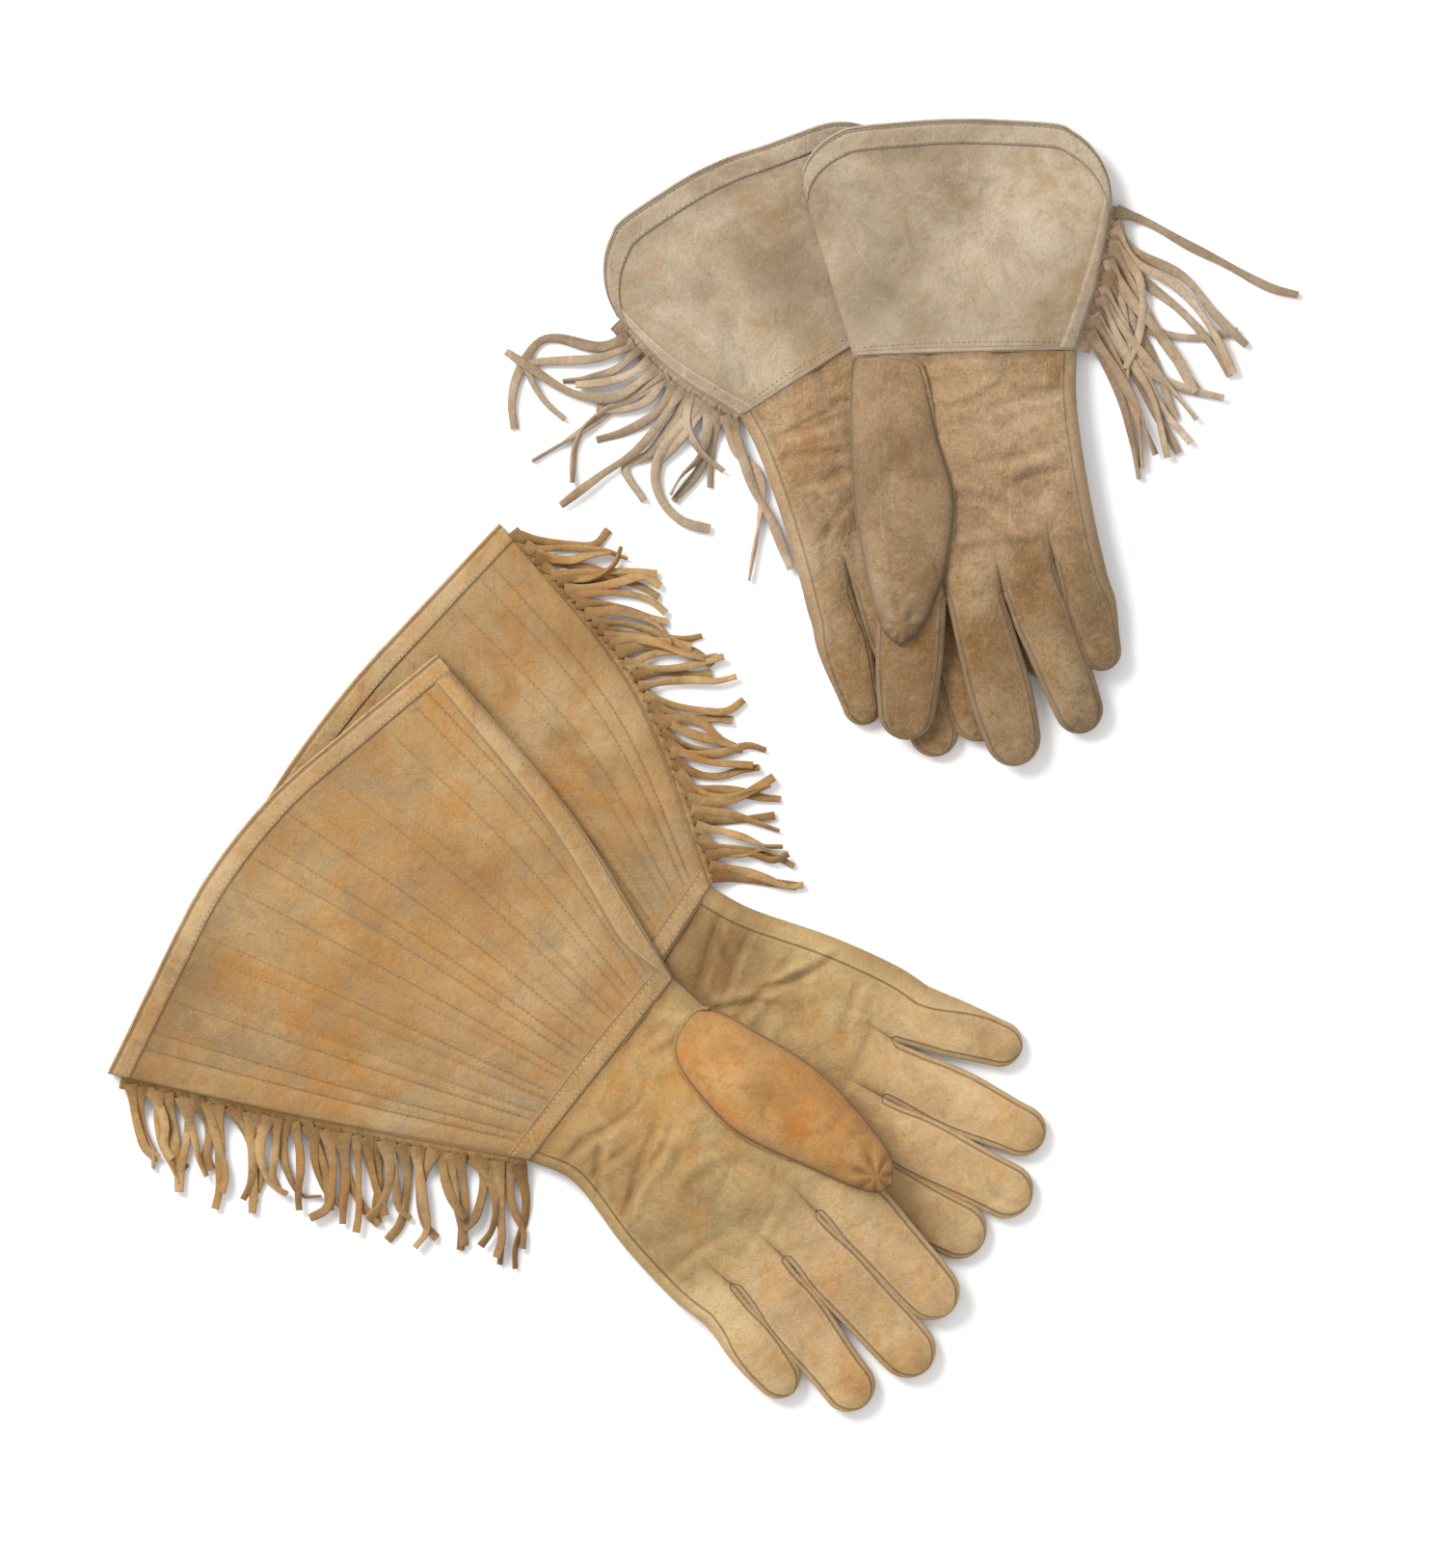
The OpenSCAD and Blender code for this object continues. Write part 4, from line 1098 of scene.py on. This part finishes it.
    def strand(self, shell, root, turns, width, level, rng):
        """One cut strand. turns is a list of (direction in the row frame in degrees, length in mm)."""
        points = [np.array(root[:2])]
        for degrees, length in turns:
            points.append(points[-1] + heading(degrees) * length)
        total = sum(length for _, length in turns)
        n = max(10, int(total / 2.2))
        s = np.linspace(0, 1, n)
        xy = spline(points, s)
        run = s * total
        own = self.own(xy)
        ground = self.base(own) if self.support is not None else np.zeros(n)
        lie = ground * 0.6 + 1.0 + level + 0.7 * np.sin(run / 11 + rng.uniform(0, 6)) ** 2
        z = lerp(root[2], lie, smooth(run, 1.0, 15))
        path = np.concatenate([xy, z[:, None]], -1)
        ahead = unit(np.gradient(path, axis=0))
        flat = level_side(ahead)
        up = np.cross(ahead, flat)
        up = up * np.sign(up[:, 2:])
        roll = rng.uniform(-18, 18) + rng.normal(0, 45) * smooth(s, 0.15, 1) + 16 * np.sin(run / 8)
        roll = np.radians(roll)[:, None]
        across = flat * np.cos(roll) + up * np.sin(roll)
        lift = up * np.cos(roll) - flat * np.sin(roll)
        section = rounded_section(width, 1.35)
        rings = swept(path, across, lift, section)
        swell = 1 + 0.12 * np.sin(run / 6 + rng.uniform(0, 6)) + 0.5 * (1 - smooth(run, 0, 9)) - 0.12 * s
        rings = path[:, None] + (rings - path[:, None]) * swell[:, None, None]
        rings[..., 2] = np.maximum(rings[..., 2], 0.15)
        # Painted shade at each strand's root and on the strands that lie under the others, with a random
        # darker tone per strand.
        darkening = 0.45 * (1 - smooth(run, 0, 9)) + rng.uniform(0, 0.26) + (0.2 if level < 1 else 0.0)
        lit = rng.uniform(-0.04, 0.14)
        shell.grid(rings, closed=True, stain_and_shade=np.broadcast_to(darkening[:, None], rings.shape[:2]), tone_and_highlight=lit)
        for end, flip in ((0, False), (-1, True)):
            ring = rings[end]
            shell.grid(np.stack([ring[[0, 1, 2, 3]], ring[[7, 6, 5, 4]]]), flip, stain_and_shade=0.1)

    def fringe_root(self, share, out=0.0):
        """Points on the sewn edge, wrist 0 to mouth 1, moved outwards."""
        share = np.asarray(share, float)
        u = np.zeros_like(share)
        xy = self.cuff_xy(u, share)
        side = left_of(unit(self.cuff_xy(u, share + 0.01) - self.cuff_xy(u, share - 0.01)))
        side = side * -np.sign(side[:, :1])
        return self.place(xy + side * out, self.cuff_z(xy, u, share, True))

    def fringe(self, strands):
        shell = Shell()
        rng = np.random.default_rng(self.seed + 101)
        share = np.linspace(0.01, 0.985, 120)
        strip = []
        for k, out in enumerate((-1.2, 0.0, 2.0, 4.2, 6.0)):
            points = self.fringe_root(share, out)
            droop = (0.5, 0.3, -0.4, -1.6, -2.8)[k]
            ripple = 0.7 * np.sin(share * 230 + 2 * np.sin(share * 60)) * (k / 4)
            points[:, 2] = np.maximum(points[:, 2] + droop + ripple, 0.4)
            strip.append(points)
        strip = np.stack(strip)
        shell.grid(strip, self.mirrored, stain_and_shade=0.15)
        under = strip.copy()
        under[..., 2] = np.maximum(under[..., 2] - 1.2, 0.15)
        shell.grid(under, not self.mirrored)
        routes = list(strands(rng))
        roots = self.fringe_root([route[0] for route in routes], 2.6)
        for index, (root, (_, turns, width)) in enumerate(zip(roots, routes)):
            root[2] = max(root[2] - 0.2, 1.3)
            self.strand(shell, root, turns, width, (index % 3) * 1.15, rng)
        self.on_cuff(self.piece(shell, "fringe_strands", "fringe", "trim_leather", ("fringe",)))

    def build(self, strands):
        hand = self.hand()
        cuff = self.cuff()
        self.thumb()
        self.trim()
        self.thread()
        self.fringe(strands)
        share_normals(hand + [cuff])


# ---------------------------------------------------------------- fringes


def even_fringe(count, first, last, towards, fan, reach):
    """Many short strands: towards is their direction at the wrist and at the mouth, in degrees."""
    def strands(rng):
        for k in range(count):
            place = lerp(first, last, (k + 0.5 + rng.uniform(-0.25, 0.25)) / count)
            way = lerp(towards[0], towards[1], place) + rng.normal(0, fan)
            length = rng.uniform(*reach)
            curl = rng.normal(0, 13)
            hook = rng.normal(0, 22)
            turns = [(way - curl, length * 0.3), (way, length * 0.25), (way + curl, length * 0.25),
                     (way + curl + hook, length * 0.2)]
            yield place, turns, rng.uniform(3.4, 4.7)
    return strands


def loose_fringe(routes, fill, towards, fan, reach):
    """Long strands as listed, with shorter ones between them."""
    def strands(rng):
        for place, turns in routes:
            yield place, turns, rng.uniform(4.0, 4.8)
        for k in range(fill):
            place = lerp(0.08, 0.82, (k + 0.5) / fill)
            way = lerp(towards[0], towards[1], place) + rng.normal(0, fan)
            length = rng.uniform(*reach)
            curl = rng.normal(0, 20)
            turns = [(way, length * 0.35), (way + curl, length * 0.35), (way + 1.6 * curl, length * 0.3)]
            yield place, turns, rng.uniform(3.8, 4.5)
    return strands


# Each route: place on the edge from the wrist to the mouth, then (direction, length) of its stretches.
SHORT_LEFT_ROUTES = [
    (0.86, [(195, 15), (168, 19), (198, 10), (239, 16), (258, 13), (276, 12)]),
    (0.82, [(203, 18), (184, 30), (262, 6), (300, 13), (318, 13)]),
    (0.60, [(216, 21), (184, 14), (163, 12), (148, 15), (146, 17)]),
    (0.56, [(216, 33), (214, 19), (211, 20)]),
    (0.50, [(207, 37), (232, 16), (264, 18)]),
    (0.40, [(234, 32), (216, 24), (217, 22)]),
    (0.34, [(236, 31), (210, 15), (300, 18)]),
    (0.26, [(230, 25), (250, 15), (284, 13), (316, 13), (344, 13)]),
    (0.20, [(261, 21), (229, 15), (240, 10)]),
    (0.15, [(254, 27), (231, 20)]),
    (0.09, [(286, 16), (313, 15), (279, 13), (261, 37)]),
    (0.04, [(287, 31), (299, 17), (292, 26)]),
]
SHORT_RIGHT_ROUTES = [
    (0.95, [(343, 14), (331, 21), (333, 17), (332, 25), (344, 15)]),
    (0.88, [(306, 16), (332, 25), (310, 23), (316, 20)]),
    (0.84, [(304, 18), (328, 24), (308, 24), (296, 22)]),
    (0.78, [(306, 22), (320, 24), (312, 22), (300, 16)]),
    (0.72, [(300, 27), (298, 22), (305, 29)]),
    (0.62, [(302, 22), (310, 24), (300, 26)]),
    (0.55, [(300, 28), (296, 22), (290, 24)]),
    (0.46, [(298, 30), (293, 29), (309, 24)]),
    (0.38, [(296, 26), (300, 26), (284, 28)]),
    (0.30, [(306, 20), (296, 26), (300, 30)]),
    (0.22, [(304, 18), (290, 30), (276, 24)]),
    (0.14, [(308, 16), (300, 24), (292, 24)]),
]

FRINGES = {
    "long_right": even_fringe(40, 0.01, 0.98, (-13, -2), 9, (36, 49)),
    "long_left": even_fringe(41, 0.01, 0.97, (271, 282), 8, (33, 49)),
    "short_left": loose_fringe(SHORT_LEFT_ROUTES, 7, (262, 205), 14, (34, 52)),
    "short_right": loose_fringe(SHORT_RIGHT_ROUTES, 6, (296, 316), 7, (56, 74)),
}

gloves = {name: Glove(name) for name in LAYINGS}
for name in ("long_right", "short_left", "long_left", "short_right"):
    glove = gloves[name]
    below = glove.lay["over"]
    if below:
        glove.support = Support()
        glove.support.lay(np.concatenate(gloves[below].tops))
        glove.support.settle()
    glove.build(FRINGES[name])

# ---------------------------------------------------------------- table, light and camera


def stage():
    mesh = bpy.data.meshes.new("floor")
    half = 6.0
    mesh.from_pydata([(-half, -half, -0.0002), (half, -half, -0.0002), (half, half, -0.0002),
                      (-half, half, -0.0002)], [], [(0, 1, 2, 3)])
    floor = link("floor", mesh)
    n = Nodes("floor_paper")
    shader = n.add("BsdfDiffuse", {"Color": (0.93, 0.93, 0.93, 1), "Roughness": 0.0})
    n.add("OutputMaterial", {"Surface": shader.outputs[0]})
    mesh.materials.append(n.material)


def area_light(name, place, size, power):
    data = bpy.data.lights.new(name, "AREA")
    data.shape = "DISK"
    data.size = size
    data.energy = power
    lamp = link(name, data)
    lamp.location = place
    lamp.rotation_euler = (-Vector(place)).to_track_quat("-Z", "Y").to_euler()


def light():
    world = bpy.data.worlds.new("studio")
    bpy.context.scene.world = world
    world.use_nodes = True
    world.node_tree.nodes["Background"].inputs[0].default_value = (1, 1, 1, 1)
    world.node_tree.nodes["Background"].inputs[1].default_value = 0.80
    area_light("key", *KEY)
    area_light("fill", *FILL)


def camera():
    """Straight down, from far off, over the middle of the layout."""
    data = bpy.data.cameras.new("camera")
    height = 4.0
    seen = 0.716
    data.sensor_fit = "VERTICAL"
    data.sensor_height = 36.0
    data.lens = 36.0 * height / seen
    data.clip_end = 20
    cam = link("camera", data)
    cam.location = (0.00935, -0.00804, height)
    bpy.context.scene.camera = cam


stage()
light()
camera()
bpy.context.scene.view_settings.view_transform = "Standard"
